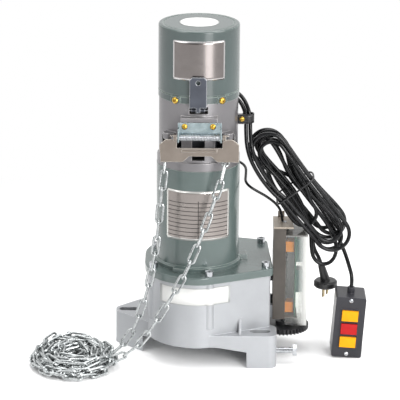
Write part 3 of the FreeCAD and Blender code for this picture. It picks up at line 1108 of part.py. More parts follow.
# Cables: straight runs joined by tangent arcs, swept with the cable's round section
def smooth_route(points):
    """Edges of a route through hand-chosen points with its corners rounded, and the bend radii."""
    route = [FreeCAD.Vector(*point) for point in points]
    edges = []
    radii = []
    start = route[0]
    for before, here, after in zip(route, route[1:], route[2:]):
        back, ahead = before - here, after - here
        reach = 0.45 * min(back.Length, ahead.Length)
        half_turn = (math.pi - back.getAngle(ahead)) / 2
        bend = reach / math.tan(half_turn)
        radii.append(bend)
        back.normalize()
        ahead.normalize()
        inward = (back + ahead).normalize() * (bend / math.cos(half_turn) - bend)
        edges.append(Part.LineSegment(start, here + back * reach).toShape())
        edges.append(Part.Arc(here + back * reach, here + inward, here + ahead * reach).toShape())
        start = here + ahead * reach
    edges.append(Part.LineSegment(start, route[-1]).toShape())
    return edges, radii


def cord(name, radius, points):
    """A tube along a hand-chosen route."""
    edges, radii = smooth_route(points)
    path = Part.Wire(edges)
    start, ahead = FreeCAD.Vector(*points[0]), FreeCAD.Vector(*points[1])
    ring = Part.Wire([Part.makeCircle(radius, start, ahead - start)])
    tube = path.makePipeShell([ring], True, True)
    share = tube.Volume / (math.pi * radius ** 2 * path.Length)
    print("%s: bend radii %s mm, length %.0f mm, volume share %.3f" % (
        name, ", ".join("%.0f" % bend for bend in radii), path.Length, share))
    return feature(name, tube)


CABLE = value("cable_radius")
BOSS_FACE = value("cable_boss_right")
HANK_TOP = value("hank_top")
CABLE_Y = value("chain_housing_radius + cable_stand")
LOW_Z, HIGH_Z = values("cable_boss_bottom + cable_low", "cable_boss_bottom + cable_high")
LOW_X, HIGH_X = values("clip_x - cable_radius + 0.1", "clip_x + cable_radius - 0.1")
SUPPLY_ROUTES = {
    "supply_cable_low": [(BOSS_FACE, CABLE_Y, LOW_Z), (20, CABLE_Y, LOW_Z), (37, 43, LOW_Z),
    (50, 27, LOW_Z - 0.5),
                         (56.5, 15, LOW_Z - 2.5), (59.7, 6, LOW_Z - 7.5), (LOW_X, 0.4, HANK_TOP + 12),
                         (LOW_X, 0.4, HANK_TOP)],
    "supply_cable_high": [(BOSS_FACE, CABLE_Y, HIGH_Z), (21, CABLE_Y, HIGH_Z), (41, 43.5, HIGH_Z),
                          (55.5, 28, HIGH_Z - 1.5), (62, 16, HIGH_Z - 5.5), (64.9, 7.6, HIGH_Z - 13.5),
                          (HIGH_X, 4.2, HANK_TOP + 13), (HIGH_X, 4.2, HANK_TOP)],
}
node(group("supply_cables_set", *[cord(cable, CABLE, points) for cable, points in SUPPLY_ROUTES.items()]),
     "supply_cables")

# Hank: the spare cable, folded into one flat bundle that hangs from the clip over the limit unit
HANK_BOTTOM = value("hank_bottom")
CLIP_X = value("clip_x")
HANK_OUTLINE = [(CLIP_X - 8.9, HANK_TOP, 0), (CLIP_X + 6.1, HANK_TOP, 6), (84, 277, 12), (112, 252, 30),
                (138, 224, 30), (160, 195, 30), (182, 158, 14), (186, 141, 5), (186, HANK_BOTTOM, 2),
                (158, HANK_BOTTOM, 6), (145, 137, 0), (136.5, 137, 0), (136.5, 152, 4), (128, 163.5, 4),
                (114, 163.5, 4), (96, 180, 10), (79, 198, 6), (69, 196, 0), (74, 204, 0),
                (value("tube_radius + hank_tube_gap"), 224, 10), (value("ring_radius + hank_ring_gap"), 251,
                                                                  10)]
hank_sketch = sketch("hank_outline", rounded_edges(HANK_OUTLINE), "xz")
cable_hank = place(extrude("cable_hank_solid", hank_sketch, "hank_thickness"),
                   y="hank_front + hank_thickness")
node(cable_hank, "cable_hank")
tie_block = block("tie_block", "tie_length", "hank_thickness + 2 * tie_thickness", "tie_width")
tie_block.Placement = FreeCAD.Placement(
    FreeCAD.Vector(*values("tie_x", "hank_front - tie_thickness", "tie_z")),
    FreeCAD.Rotation(FreeCAD.Vector(0, 1, 0), 180 - value("tie_lean")))
node(cut("hank_tie_solid", tie_block, cable_hank), "hank_tie")

# Limit lead: from the motor's wiring to the hank, passing between the tube and the bundle
LEAD_START = value("tube_radius + 0.02")
limit_lead_route = [(LEAD_START * 0.6, LEAD_START * 0.8, 226), (39, 52, 226), (50, 53.5, 224.5),
                    (58.5, 44, 220.5), (58, 28, 214.5), (57, 15, 210.5), (62.2, 9, 205.8), (71.5, 9, 200)]
node(cord("limit_lead_solid", value("thin_lead_radius"), limit_lead_route), "limit_lead")

# Plug: a round flange with a tapered strain relief and two flat pins, hanging on its lead
RELIEF_TIP = FreeCAD.Vector(*values("relief_x", "relief_y", "relief_z"))
RELIEF_END = FreeCAD.Vector(*values("plug_x", "plug_y", "plug_bottom + plug_height - 1"))
relief_axis = RELIEF_END - RELIEF_TIP
plug_relief = cone("plug_relief", "relief_tip_radius", "relief_radius", str(relief_axis.Length))
plug_relief.Placement = FreeCAD.Placement(RELIEF_TIP, FreeCAD.Rotation(FreeCAD.Vector(0, 0, 1), relief_axis))
plug_flange = lathe("plug_flange", ("0", "0"), ("plug_radius - plug_round", "0"), ("plug_radius",
                                                                                   "plug_round"),
                    ("plug_radius", "plug_height - plug_round"), ("plug_radius - plug_round",
                                                                  "plug_height"), ("0", "plug_height"))
place(plug_flange, "plug_x", "plug_y", "plug_bottom")
node(join("plug_body_solid", plug_relief, plug_flange), "plug_body")
PIN_MIDDLE = FreeCAD.Vector(*values("plug_x", "plug_y", "plug_bottom - pin_length"))
PIN_TURN = FreeCAD.Rotation(FreeCAD.Vector(0, 0, 1), value("pin_turn"))


def plug_pin(side, offset):
    """A flat pin under the flange, on the line across it that the plug has turned to."""
    pin = block("plug_pin_" + side, "pin_width", "pin_thickness", "pin_length")
    corner = FreeCAD.Vector(*values(offset + " - pin_width / 2", "-pin_thickness / 2", "0"))
    pin.Placement = FreeCAD.Placement(PIN_MIDDLE + PIN_TURN.multVec(corner), PIN_TURN)
    return pin


node(group("plug_pins_set", plug_pin("front", "-pin_pitch / 2"), plug_pin("back", "pin_pitch / 2")),
     "plug_pins")
relief_step = relief_axis.normalize() * 9
plug_lead_route = [(139.5, 9, 137), (139.5, 9, 125), tuple(RELIEF_TIP - relief_step), tuple(RELIEF_TIP)]
node(cord("plug_lead_solid", CABLE, plug_lead_route), "plug_lead")

# Wall switch: a two part box leaning to one side, with three push buttons and two screws in its face
BOX_EDGE = FreeCAD.Vector(value("box_x + box_width"), 0, 0)
BOX_TURN = FreeCAD.Placement(FreeCAD.Vector(), FreeCAD.Rotation(FreeCAD.Vector(0, 1, 0), value("box_lean")),
                             BOX_EDGE)


def leaned(label, solid):
    """The finished piece of the switch, tipped with the whole box about its right bottom edge."""
    doc.recompute()
    tipped = feature(label + "_solid", solid.Shape)
    tipped.Placement = BOX_TURN.multiply(solid.Placement)
    return node(tipped, label)


BOX_MIDDLE = "(box_x + box_width / 2)"
BOX_SPLIT = "(box_front + box_front_depth)"
box_corners = rounded_edges([
    values("box_x", "0", "box_round"), values("box_x + box_width", "0", "box_round"),
    values("box_x + box_width", "box_height", "box_round"), values("box_x", "box_height", "box_round")])
box_sketch = sketch("box_outline", box_corners, "xz")
box_shell = place(extrude("box_shell", box_sketch, "box_depth - box_front_depth"), y="box_front + box_depth")
box_space = block("box_space", "box_width - 2 * box_wall", "box_depth - box_front_depth - box_wall + 1",
                  "box_height - 2 * box_wall", "box_x + box_wall", BOX_SPLIT + " - 1", "box_wall")
box_gland = cylinder("box_gland", "gland_radius", "gland_height + 1", BOX_MIDDLE, "box_front + box_depth / 2",
                     "box_height - 1")
BUTTON_NAMES = ("down", "stop", "up")
SCREW_HEIGHTS = {"low": "box_screw_inset", "high": "box_height - box_screw_inset"}
face_plate = place(extrude("face_plate", box_sketch, "box_front_depth"), y=BOX_SPLIT)
collars = []
button_holes = []
button_solids = {}
for index, button in enumerate(BUTTON_NAMES):
    middle = "(button_low + %d * button_pitch)" % index
    collars.append(block("collar_" + button, "button_width + 2 * collar_width", "collar_proud + 1",
                         "button_height + 2 * collar_width",
                         BOX_MIDDLE + " - button_width / 2 - collar_width", "box_front - collar_proud",
                         middle + " - button_height / 2 - collar_width"))
    button_holes.append(block("button_hole_" + button, "button_width + 2 * slide_gap", "60",
                              "button_height + 2 * slide_gap", BOX_MIDDLE + " - button_width / 2 - slide_gap",
                              "box_front - 20", middle + " - button_height / 2 - slide_gap"))
    button_solids[button] = block("button_cap_" + button, "button_width", "button_proud + button_inside",
                                  "button_height", BOX_MIDDLE + " - button_width / 2",
                                  "box_front - button_proud", middle + " - button_height / 2")
face_screw_holes = [cylinder("face_screw_hole_" + spot, "box_screw_radius + thread_fit", "30", BOX_MIDDLE,
                             "box_front - 5", height, "y") for spot, height in SCREW_HEIGHTS.items()]
face_screws = [front_screw("face_screw_" + spot, BOX_MIDDLE, "box_front", height, "box_screw_radius",
                           "box_screw_head_radius", "box_screw_head", "box_front_depth - 1")
               for spot, height in SCREW_HEIGHTS.items()]
leaned("switch_box_body", cut("box_body", join("box_with_gland", box_shell, box_gland), box_space))
leaned("switch_box_front", cut("box_face", join("face_with_collars", face_plate, *collars), *button_holes,
                               *face_screw_holes))
for button, solid in button_solids.items():
    leaned("button_" + button, solid)
leaned("switch_box_screws", group("face_screws_set", *face_screws))
GLAND_TOP = BOX_TURN.multVec(FreeCAD.Vector(*values(BOX_MIDDLE, "box_front + box_depth / 2",
                                                    "box_height + gland_height")))
GLAND_ABOVE = BOX_TURN.multVec(FreeCAD.Vector(*values(BOX_MIDDLE, "box_front + box_depth / 2",
                                                      "box_height + gland_height + 12")))
switch_lead_route = [(181, -0.5, HANK_BOTTOM), (181, -0.5, HANK_BOTTOM - 12), tuple(GLAND_ABOVE),
                     tuple(GLAND_TOP)]
node(cord("switch_lead_solid", CABLE, switch_lead_route), "switch_lead")


# Hand chain: welded links, each one turned a quarter against the last
def link_shape():
    """One oval link lying along X, flat in the XY plane."""
    wire, inner_length, inner_width = values("link_wire / 2", "link_inner_length", "link_inner_width")
    bend = inner_width / 2 + wire
    straight = inner_length - inner_width
    corners = [FreeCAD.Vector(sx * straight / 2, sy * bend, 0) for sx, sy in ((-1, -1), (1, -1), (1, 1),
                                                                              (-1, 1))]
    nose = FreeCAD.Vector(straight / 2 + bend, 0, 0)
    path = Part.Wire([Part.LineSegment(corners[0], corners[1]).toShape(),
                      Part.Arc(corners[1], nose, corners[2]).toShape(),
                      Part.LineSegment(corners[2], corners[3]).toShape(),
                      Part.Arc(corners[3], -nose, corners[0]).toShape()])
    ring = Part.Wire([Part.makeCircle(wire, corners[0], FreeCAD.Vector(1, 0, 0))])
    return path.makePipeShell([ring], True, True)


# The chain lies round the back of its wheel and both ends hang out of the windows down to the pile.
# A joint sits at the end bar of one link, which rests in the nose of the other.
BAR_REACH = value("(link_inner_length + link_wire) / 2")
NOSE_REACH = value("link_inner_length / 2 - link_wire / 2 - link_slack")
LINK_HALF_WIDTH = value("link_inner_width / 2 + link_wire")
WRAP_RADIUS = math.hypot(NOSE_REACH, value("wheel_groove_radius + slide_gap") + LINK_HALF_WIDTH)
WRAP_HEIGHT = value("wheel_bottom + wheel_width / 2")
WRAP_LEFT, WRAP_RIGHT = (-WRAP_RADIUS, 0, WRAP_HEIGHT), (WRAP_RADIUS, 0, WRAP_HEIGHT)
FALL_Y = value("hinge_y")
LEFT_ROUTE = [(-103, -61, 14), (-89, -60, 26), (-77, -60, 44), (-68, -60, 68), (-58, -60, 103),
              (-50, FALL_Y, 145), (-46, FALL_Y, 186), (-42, FALL_Y, WRAP_HEIGHT - 40), (-39.5, FALL_Y + 2.5,
                                                                                        WRAP_HEIGHT - 21),
              (-37.5, FALL_Y + 13, WRAP_HEIGHT - 1.5), (-WRAP_RADIUS, -22, WRAP_HEIGHT), WRAP_LEFT]
RIGHT_ROUTE = [WRAP_RIGHT, (WRAP_RADIUS, -22, WRAP_HEIGHT), (35, FALL_Y + 14, WRAP_HEIGHT - 1.5),
               (30.5, FALL_Y + 1.5, WRAP_HEIGHT - 22), (27, FALL_Y - 2, WRAP_HEIGHT - 37), (12, -68, 189),
               (-2, -76, 151), (-20, -82, 113), (-44, -83, 73), (-61, -82.5, 45), (-80, -80, 22.5),
               (-110, -77, 10.5)]
FLAT, UPRIGHT = 0, 1


def pivot_kind(point):
    """The kind of link whose end bar is the pivot: upright round the wheel, flat where the chain bends down."""
    return UPRIGHT if point.y > -12 else FLAT


def reach(kind, pivot):
    """How far a link's joint lies from its middle."""
    return BAR_REACH if kind == pivot else NOSE_REACH


def chain_joints(edges):
    """Points along the route where the links meet."""
    places = [point for edge in edges for point in edge.discretize(Distance=0.05)]
    joints = [places[0]]
    for point in places:
        kind = len(joints) % 2
        span = reach(kind, pivot_kind(joints[-1])) + reach(kind, pivot_kind(point))
        if point.distanceToPoint(joints[-1]) >= span:
            joints.append(point)
    return joints


def chain_links(joints):
    """Links between the joints, carried from the back of the wheel both ways without twist."""
    runs = [(end - start).normalize() for start, end in zip(joints, joints[1:])]
    back = max(range(len(runs)), key=lambda index: joints[index].y)
    across = {back: runs[back].cross(FreeCAD.Vector(0, 0, 1))}
    for index in range(back + 1, len(runs)):
        across[index] = FreeCAD.Rotation(runs[index - 1], runs[index]).multVec(across[index - 1])
    for index in reversed(range(back)):
        across[index] = FreeCAD.Rotation(runs[index + 1], runs[index]).multVec(across[index + 1])
    link = link_shape()
    links = []
    for index, along in enumerate(runs):
        kind = (index + 1) % 2
        frame = FreeCAD.Rotation(along, across[index], FreeCAD.Vector(), "XYZ")
        roll = FreeCAD.Rotation(FreeCAD.Vector(1, 0, 0), 90 * kind)
        middle = joints[index] + along * reach(kind, pivot_kind(joints[index]))
        copy = link.copy()
        copy.Placement = FreeCAD.Placement(middle, frame.multiply(roll))
        links.append(copy)
    return links


wrap_top = FreeCAD.Vector(0, WRAP_RADIUS, WRAP_HEIGHT)
wrap_arc = Part.Arc(FreeCAD.Vector(*WRAP_LEFT), wrap_top, FreeCAD.Vector(*WRAP_RIGHT)).toShape()
left_edges, right_edges = smooth_route(LEFT_ROUTE)[0], smooth_route(RIGHT_ROUTE)[0]
joints = chain_joints(left_edges + [wrap_arc] + right_edges)
hand_chain = chain_links(joints)
split = next(index for index, joint in enumerate(joints) if joint.x > 0 and joint.y < -12)
left_links, right_links = hand_chain[:split], hand_chain[split:]
print("hand chain: %d links left and round the wheel, %d links right" % (len(left_links), len(right_links)))
node(feature("hand_chain_left_solid", Part.makeCompound(left_links)), "hand_chain_left")
node(feature("hand_chain_right_solid", Part.makeCompound(right_links)), "hand_chain_right")


# Pile: the slack chain lies in rings, each one in the dip between those below it
def ringed_edges(rings, thickness):
    """Arcs of a heap's outer skin over its rings, closed by straight lines to the axis and along the ground."""
    centres = [FreeCAD.Vector(radius, height, 0) for radius, height in rings]
    meets = [FreeCAD.Vector(centres[0].x, 0, 0)]
    for lower, upper in zip(centres, centres[1:]):
        span = upper - lower
        outward = FreeCAD.Vector(span.y, -span.x, 0).normalize()
        meets.append((lower + upper) * 0.5 + outward * math.sqrt(thickness ** 2 - (span.Length / 2) ** 2))
    meets.append(FreeCAD.Vector(centres[-1].x, centres[-1].y + thickness, 0))
    edges = []
    for centre, start, end in zip(centres, meets, meets[1:]):
        bulge = ((start - centre).normalize() + (end - centre).normalize()).normalize()
        edges.append(Part.Arc(start, centre + bulge * thickness, end))
    corners = [meets[-1], FreeCAD.Vector(0, meets[-1].y, 0), FreeCAD.Vector(), meets[0]]
    return edges + [Part.LineSegment(start, end) for start, end in zip(corners, corners[1:])]


RING_STEPS = ((0, 0), (5.5, 7.6), (12, 14.8), (21, 18.5), (30, 16), (37, 11))
PILE_RINGS = [values("pile_radius - pile_ring - %g" % inward, "pile_ring + %g" % upward) for inward,
              upward in RING_STEPS]
pile = turn("hand_chain_pile_solid", ringed_edges(PILE_RINGS, value("pile_ring")))
node(place(pile, "pile_x", "pile_y"), "hand_chain_pile")

# Check every object and write the sub-parts
doc.recompute()
for thing in doc.Objects:
    if "Invalid" in thing.State or "Error" in thing.State:
        raise ValueError("%s did not build" % thing.Name)
os.makedirs("parts", exist_ok=True)
for thing in PARTS:
    shape = thing.Shape
    if shape.isNull() or not shape.isValid() or not shape.Solids:
        raise ValueError("%s is not a valid solid" % thing.Label)
    shape.exportStep("parts/%s.step" % thing.Label)
print("%d sub-parts written" % len(PARTS))
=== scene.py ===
import bpy
import math
from mathutils import Matrix, Vector


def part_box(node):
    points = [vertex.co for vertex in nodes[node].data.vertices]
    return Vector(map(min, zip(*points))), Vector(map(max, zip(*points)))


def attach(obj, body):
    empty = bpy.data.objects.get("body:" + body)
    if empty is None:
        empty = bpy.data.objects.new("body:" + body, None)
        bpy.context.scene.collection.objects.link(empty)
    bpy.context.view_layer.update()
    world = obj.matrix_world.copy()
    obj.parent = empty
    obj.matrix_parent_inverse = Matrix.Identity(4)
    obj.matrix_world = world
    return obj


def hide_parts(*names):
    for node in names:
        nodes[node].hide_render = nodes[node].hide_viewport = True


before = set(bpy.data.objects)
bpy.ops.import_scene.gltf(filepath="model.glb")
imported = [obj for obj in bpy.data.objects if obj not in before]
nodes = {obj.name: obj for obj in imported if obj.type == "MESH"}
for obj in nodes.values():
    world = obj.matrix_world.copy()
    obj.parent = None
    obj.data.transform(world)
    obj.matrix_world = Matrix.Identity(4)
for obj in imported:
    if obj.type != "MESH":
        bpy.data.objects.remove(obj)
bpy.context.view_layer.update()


# Gearbox housing.
# A gravity cast aluminium box on three slotted feet, sprayed with a thin silver lacquer.
# The casting skin stays slightly rough, and its edges are painted paler, partly for wear in handling and
# partly as a painted highlight.
MM = 0.001


def colour(code):
    """Linear colour of an sRGB hex value."""
    channels = [int(code[start:start + 2], 16) / 255 for start in (0, 2, 4)]
    return [part / 12.92 if part <= 0.04045 else ((part + 0.055) / 1.055) ** 2.4 for part in channels] + [1.0]


def add(tree, kind, settings=None, links=None):
    """Add a node, set its sockets or properties, and link its inputs."""
    made = tree.nodes.new(kind)
    for name, setting in (settings or {}).items():
        if isinstance(name, str) and hasattr(made, name):
            setattr(made, name, setting)
        else:
            made.inputs[name].default_value = setting
    for name, source in (links or {}).items():
        tree.links.new(source, made.inputs[name])
    return made


def blank_material(name):
    """A material with an empty tree."""
    made = bpy.data.materials.new(name)
    made.use_nodes = True
    made.node_tree.nodes.clear()
    return made, made.node_tree


def surface(name, dark, light, patch, grain, sheen, relief, edge=0.4, edge_wear_and_glint=None, metallic=0.0, specular=0.5,
            coat=0.0, coat_roughness=0.03):
    """A skin of two mixed tones in patches, with a fine grain, an uneven sheen and softly rounded edges.

    Patch, grain, relief and edge are millimetres; sheen is the lowest and highest roughness;
    the edge tone is painted along the edges, partly as wear and partly as a painted highlight."""
    made, tree = blank_material(name)
    place = add(tree, "ShaderNodeTexCoord").outputs["Object"]
    patches = add(tree, "ShaderNodeTexNoise", {"Scale": 1 / (patch * MM), "Detail": 5.0, "Roughness": 0.62},
                  {"Vector": place}).outputs["Fac"]
    fine = add(tree, "ShaderNodeTexNoise", {"Scale": 1 / (grain * MM), "Detail": 3.0},
               {"Vector": place}).outputs["Fac"]
    spread = add(tree, "ShaderNodeMapRange", {"From Min": 0.3, "From Max": 0.7},
                 {"Value": patches}).outputs["Result"]
    skin = add(tree, "ShaderNodeMixRGB", {"Color1": colour(dark), "Color2": colour(light)},
               {"Fac": spread}).outputs["Color"]
    rounded = add(tree, "ShaderNodeBevel", {"samples": 4, "Radius": edge * MM}).outputs["Normal"]
    # Edges get a paler tone in the colour itself: partly wear, partly a painted highlight where edges catch
    # the light
    if edge_wear_and_glint:
        facing = add(tree, "ShaderNodeNewGeometry").outputs["Normal"]
        match = add(tree, "ShaderNodeVectorMath", {"operation": "DOT_PRODUCT"}, {0: rounded, 1: facing})
        wear_and_glint_mask = add(tree, "ShaderNodeMapRange", {"From Min": 0.985, "From Max": 0.8, "To Max": 0.85},
                     {"Value": match.outputs["Value"]}).outputs["Result"]
        skin = add(tree, "ShaderNodeMixRGB", {"Color2": colour(edge_wear_and_glint)},
                   {"Fac": wear_and_glint_mask, "Color1": skin}).outputs["Color"]
    gloss = add(tree, "ShaderNodeMapRange", {"To Min": sheen[0], "To Max": sheen[1]}, {"Value": spread})
    bump = add(tree, "ShaderNodeBump", {"Strength": 0.6, "Distance": relief * MM},
               {"Height": fine, "Normal": rounded})
    bsdf = add(tree, "ShaderNodeBsdfPrincipled",
               {"Metallic": metallic, "Specular IOR Level": specular, "Coat Weight": coat,
                "Coat Roughness": coat_roughness},
               {"Base Color": skin, "Roughness": gloss.outputs["Result"], "Normal": bump.outputs["Normal"]})
    add(tree, "ShaderNodeOutputMaterial", links={"Surface": bsdf.outputs["BSDF"]})
    return made


def finish_nodes(material, *names):
    """Give CAD nodes their material."""
    for name in names:
        mesh = nodes[name].data
        mesh.materials.clear()
        mesh.materials.append(material)


# Sprayed casting: a light cool grey with a soft metal glint and a pebbled skin
cast_aluminium = surface("lacquered_cast_aluminium", "9b9da0", "a5a7aa", patch=60, grain=1.1,
                         sheen=(0.36, 0.46), relief=0.1, edge=1.1, edge_wear_and_glint="d9dbdf", metallic=0.4)
finish_nodes(cast_aluminium, "gearbox_housing")

# Gears, shafts and bearings.
# Turned and hobbed steel, oiled, running in the gearbox and the tube, with the sprocket underneath.
# The two hinge pins, the limit unit's lead screw and the brake's plate are of the same steel.
# Oiled steel: mid grey metal with a mottled gloss
oiled_steel = surface("oiled_turned_steel", "7f8286", "a6a9ac", patch=6, grain=0.4, sheen=(0.22, 0.36),
                      relief=0.03, edge=0.2, metallic=1.0)
finish_nodes(oiled_steel, "rotor_shaft", "shaft_bearings", "first_gear", "countershaft", "output_gear",
             "output_shaft", "limit_pinion", "drive_sprocket", "guide_pin", "lever_pin", "limit_screw",
             "brake_armature")

# Gearbox cover, motor tube and top cap.
# A thick cast cover, a drawn steel tube and a drawn steel cap, all in stoved grey green enamel.
# Enamel: a satin sheen with a faint orange peel, its edges painted a paler rim as a painted highlight
enamel = surface("grey_green_stoved_enamel", "4d5957", "566260", patch=60, grain=1.2, sheen=(0.2, 0.27),
                 relief=0.03, edge=0.9, edge_wear_and_glint="a9b8b0", coat=0.35, coat_roughness=0.12)
finish_nodes(enamel, "gearbox_cover", "motor_tube")
# Cap enamel: the same paint, its colour darkened as painted shade for the dimmer light high on the motor; its
# rim has the same painted highlight
shaded_cap_enamel = surface("grey_green_enamel_painted_shade", "414b4a", "495453", patch=60, grain=1.2, sheen=(0.2, 0.27),
                     relief=0.03, edge=1.4, edge_wear_and_glint="a9b8b0", coat=0.3)
finish_nodes(shaded_cap_enamel, "top_cap")

# Cover screws and tension bolt.
# Zinc plated steel: socket heads hold the cover down, and a hexagon bolt pulls the drive chain tight.
# Bright zinc: pale glossy metal with a mottled sheen
plated_steel = surface("bright_zinc_plated_steel", "9da0a4", "c9cbce", patch=5, grain=0.5, sheen=(0.18, 0.3),
                       relief=0.02, edge=0.25, metallic=1.0)
finish_nodes(plated_steel, "cover_screws", "tension_bolt", "switch_box_screws")

# Stator, rotor and winding.
# Stacked electrical sheet, the stator pressed into the tube and the rotor on its shaft.
# Heads of varnished copper wire stand above and below the stator.
# Lamination stack: dull dark grey metal
stacked_sheet = surface("stacked_electrical_sheet", "4c4f52", "65686b", patch=4, grain=0.5, sheen=(0.35, 0.5),
                        relief=0.05, metallic=0.9)
finish_nodes(stacked_sheet, "stator_core", "rotor_core")
# Varnished copper: glossy red brown with a coarse grain of wires
varnished_copper = surface("varnished_copper_wire", "8a4a22", "b8703a", patch=3, grain=0.9, sheen=(0.25, 0.4),
                           relief=0.3, metallic=0.8)
finish_nodes(varnished_copper, "stator_winding")

# Chain housing and hand chain wheel.
# A turned aluminium casting with windows for the hand chain; the pocket wheel inside is rough iron.
# Turned casting: a warm mid grey metal, with white painted along its edges as a painted highlight
turned_casting = surface("turned_cast_aluminium", "7b797b", "858385", patch=70, grain=0.8, sheen=(0.28, 0.36),
                         relief=0.03, edge=1.3, edge_wear_and_glint="e2e0df", metallic=0.6)
finish_nodes(turned_casting, "chain_housing")
# Rough iron: near black, matt and pitted
rough_iron = surface("rough_cast_iron", "2a2b2f", "3c3e42", patch=5, grain=1.0, sheen=(0.5, 0.65),
                     relief=0.25, metallic=0.7)
finish_nodes(rough_iron, "hand_chain_wheel")

# Brake and capacitor.
# A lined disc, the coil that lifts its plate and a canned capacitor, all under the top cap.
# Friction lining: matt brown grey
lining = surface("moulded_friction_lining", "3a3530", "564d44", patch=3, grain=0.6, sheen=(0.6, 0.8),
                 relief=0.15)
finish_nodes(lining, "brake_disc")
finish_nodes(varnished_copper, "brake_coil")
# Drawn aluminium: pale smooth metal
drawn_can = surface("drawn_aluminium_can", "b4b6b8", "cfd0d2", patch=12, grain=0.5, sheen=(0.25, 0.35),
                    relief=0.02, metallic=1.0)
finish_nodes(drawn_can, "run_capacitor")

# Bare rating plates and stickers.
# A foil plate on the cap, a card on the tube, a round sticker on the cap's top and a strip on the gearbox.
# All are blank apart from a border and the card's ruled lines, and follow the surface they are stuck to.
PLATE_LIFT = 0.2 * MM
LABEL_THICK = 0.15 * MM
# Shares of a label's width and height: its ruled lines, its border, and how far up the lines go
LINE_WIDTHS = (0.012, 0.016)
BORDER_WIDTHS = (0.03, 0.04)
RULED_PART = 0.8


def label_skin(name, paper, border, ink, rows, columns, sheen, metallic):
    """A card with a border and, inside it, thin ruled lines that leave the upper part bare."""
    made, tree = blank_material(name)
    place = add(tree, "ShaderNodeTexCoord").outputs
    mottle = add(tree, "ShaderNodeTexNoise", {"Scale": 90.0, "Detail": 4.0},
                 {"Vector": place["Object"]}).outputs["Fac"]
    spot = add(tree, "ShaderNodeSeparateXYZ", links={"Vector": place["UV"]}).outputs
    skin = add(tree, "ShaderNodeMixRGB", {"Color1": colour(paper[0]), "Color2": colour(paper[1])},
               {"Fac": mottle}).outputs["Color"]
    low = add(tree, "ShaderNodeMath", {"operation": "LESS_THAN", 1: RULED_PART},
              {0: spot["Y"]}).outputs["Value"]
    for axis, count, width in zip(("X", "Y"), (columns, rows), LINE_WIDTHS):
        cells = add(tree, "ShaderNodeMath", {"operation": "MULTIPLY", 1: count}, {0: spot[axis]})
        cell = add(tree, "ShaderNodeMath", {"operation": "FRACT"}, {0: cells.outputs["Value"]})
        line = add(tree, "ShaderNodeMath", {"operation": "LESS_THAN", 1: width * count},
                   {0: cell.outputs["Value"]})
        inked = add(tree, "ShaderNodeMath", {"operation": "MULTIPLY"}, {0: line.outputs["Value"], 1: low})
        skin = add(tree, "ShaderNodeMixRGB", {"Color2": colour(ink)},
                   {"Fac": inked.outputs["Value"], "Color1": skin}).outputs["Color"]
    for axis, width in zip(("X", "Y"), BORDER_WIDTHS):
        offset = add(tree, "ShaderNodeMath", {"operation": "SUBTRACT", 1: 0.5}, {0: spot[axis]})
        aside = add(tree, "ShaderNodeMath", {"operation": "ABSOLUTE"}, {0: offset.outputs["Value"]})
        rim = add(tree, "ShaderNodeMath", {"operation": "GREATER_THAN", 1: 0.5 - width},
                  {0: aside.outputs["Value"]})
        skin = add(tree, "ShaderNodeMixRGB", {"Color2": colour(border)},
                   {"Fac": rim.outputs["Value"], "Color1": skin}).outputs["Color"]
    gloss = add(tree, "ShaderNodeMapRange", {"To Min": sheen[0], "To Max": sheen[1]}, {"Value": mottle})
    bsdf = add(tree, "ShaderNodeBsdfPrincipled", {"Metallic": metallic},
               {"Base Color": skin, "Roughness": gloss.outputs["Result"]})
    add(tree, "ShaderNodeOutputMaterial", links={"Surface": bsdf.outputs["BSDF"]})
    return made


def sheet_mesh(name, columns, rows, spot):
    """A mapped sheet of quads whose corners lie where spot(u, v) says."""
    mesh = bpy.data.meshes.new(name)
    corners = [(column / columns, row / rows) for row in range(rows + 1) for column in range(columns + 1)]
    faces = []
    for row in range(rows):
        for column in range(columns):
            first = row * (columns + 1) + column
            faces.append((first, first + 1, first + columns + 2, first + columns + 1))
    mesh.from_pydata([spot(u, v) for u, v in corners], [], faces)
    layer = mesh.uv_layers.new(name="label")
    for loop in mesh.loops:
        layer.data[loop.index].uv = corners[loop.vertex_index]
    mesh.update()
    return mesh


def put_in_scene(name, data):
    """Make an object of a mesh, curve, lamp or camera."""
    made = bpy.data.objects.new(name, data)
    bpy.context.scene.collection.objects.link(made)
    return made


def piece(name, mesh, material=None):
    """Show a mesh as a piece that rides on the base, smooth and in one material if that is given."""
    made = put_in_scene(name, mesh)
    if material:
        mesh.materials.clear()
        mesh.materials.append(material)
        for face in mesh.polygons:
            face.use_smooth = True
    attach(made, "base")
    return made


def sheet(name, spot, material, columns, rows, thickness=LABEL_THICK, offset=-1):
    """A sheet piece whose thickness lies inwards at offset -1 and to both sides at 0."""
    made = piece(name, sheet_mesh(name, columns, rows, spot), material)
    wall = made.modifiers.new("thickness", "SOLIDIFY")
    wall.thickness = thickness
    wall.offset = offset
    return made


def wrap(radius, reach, low, high, corner):
    """Places on a round wall across its front, with rounded corners."""
    half = math.asin(reach / radius)

    def spot(u, v):
        across = reach * (2 * u - 1)
        up = low + (high - low) * v
        past = max(abs(across) - (reach - corner), 0)
        inset = corner - math.sqrt(max(corner ** 2 - past ** 2, 0))
        up = min(max(up, low + inset), high - inset)
        turn = half * (2 * u - 1)
        return (radius * math.sin(turn), -radius * math.cos(turn), up)
    return spot


CAP_RADIUS = 48.4 * MM
TUBE_RADIUS = 50 * MM
# Brushed foil: bright bands that run up the plate where the round cap mirrors the room
foil = label_skin("brushed_aluminium_foil", ("807a78", "8f8987"), border="cfcdcd", ink="8f8a88", rows=0,
                  columns=0, sheen=(0.2, 0.28), metallic=1.0)
cap_front = wrap(CAP_RADIUS + PLATE_LIFT, reach=30.6 * MM, low=352.5 * MM, high=400 * MM, corner=2 * MM)
sheet("cap_plate", cap_front, foil, columns=60, rows=12)
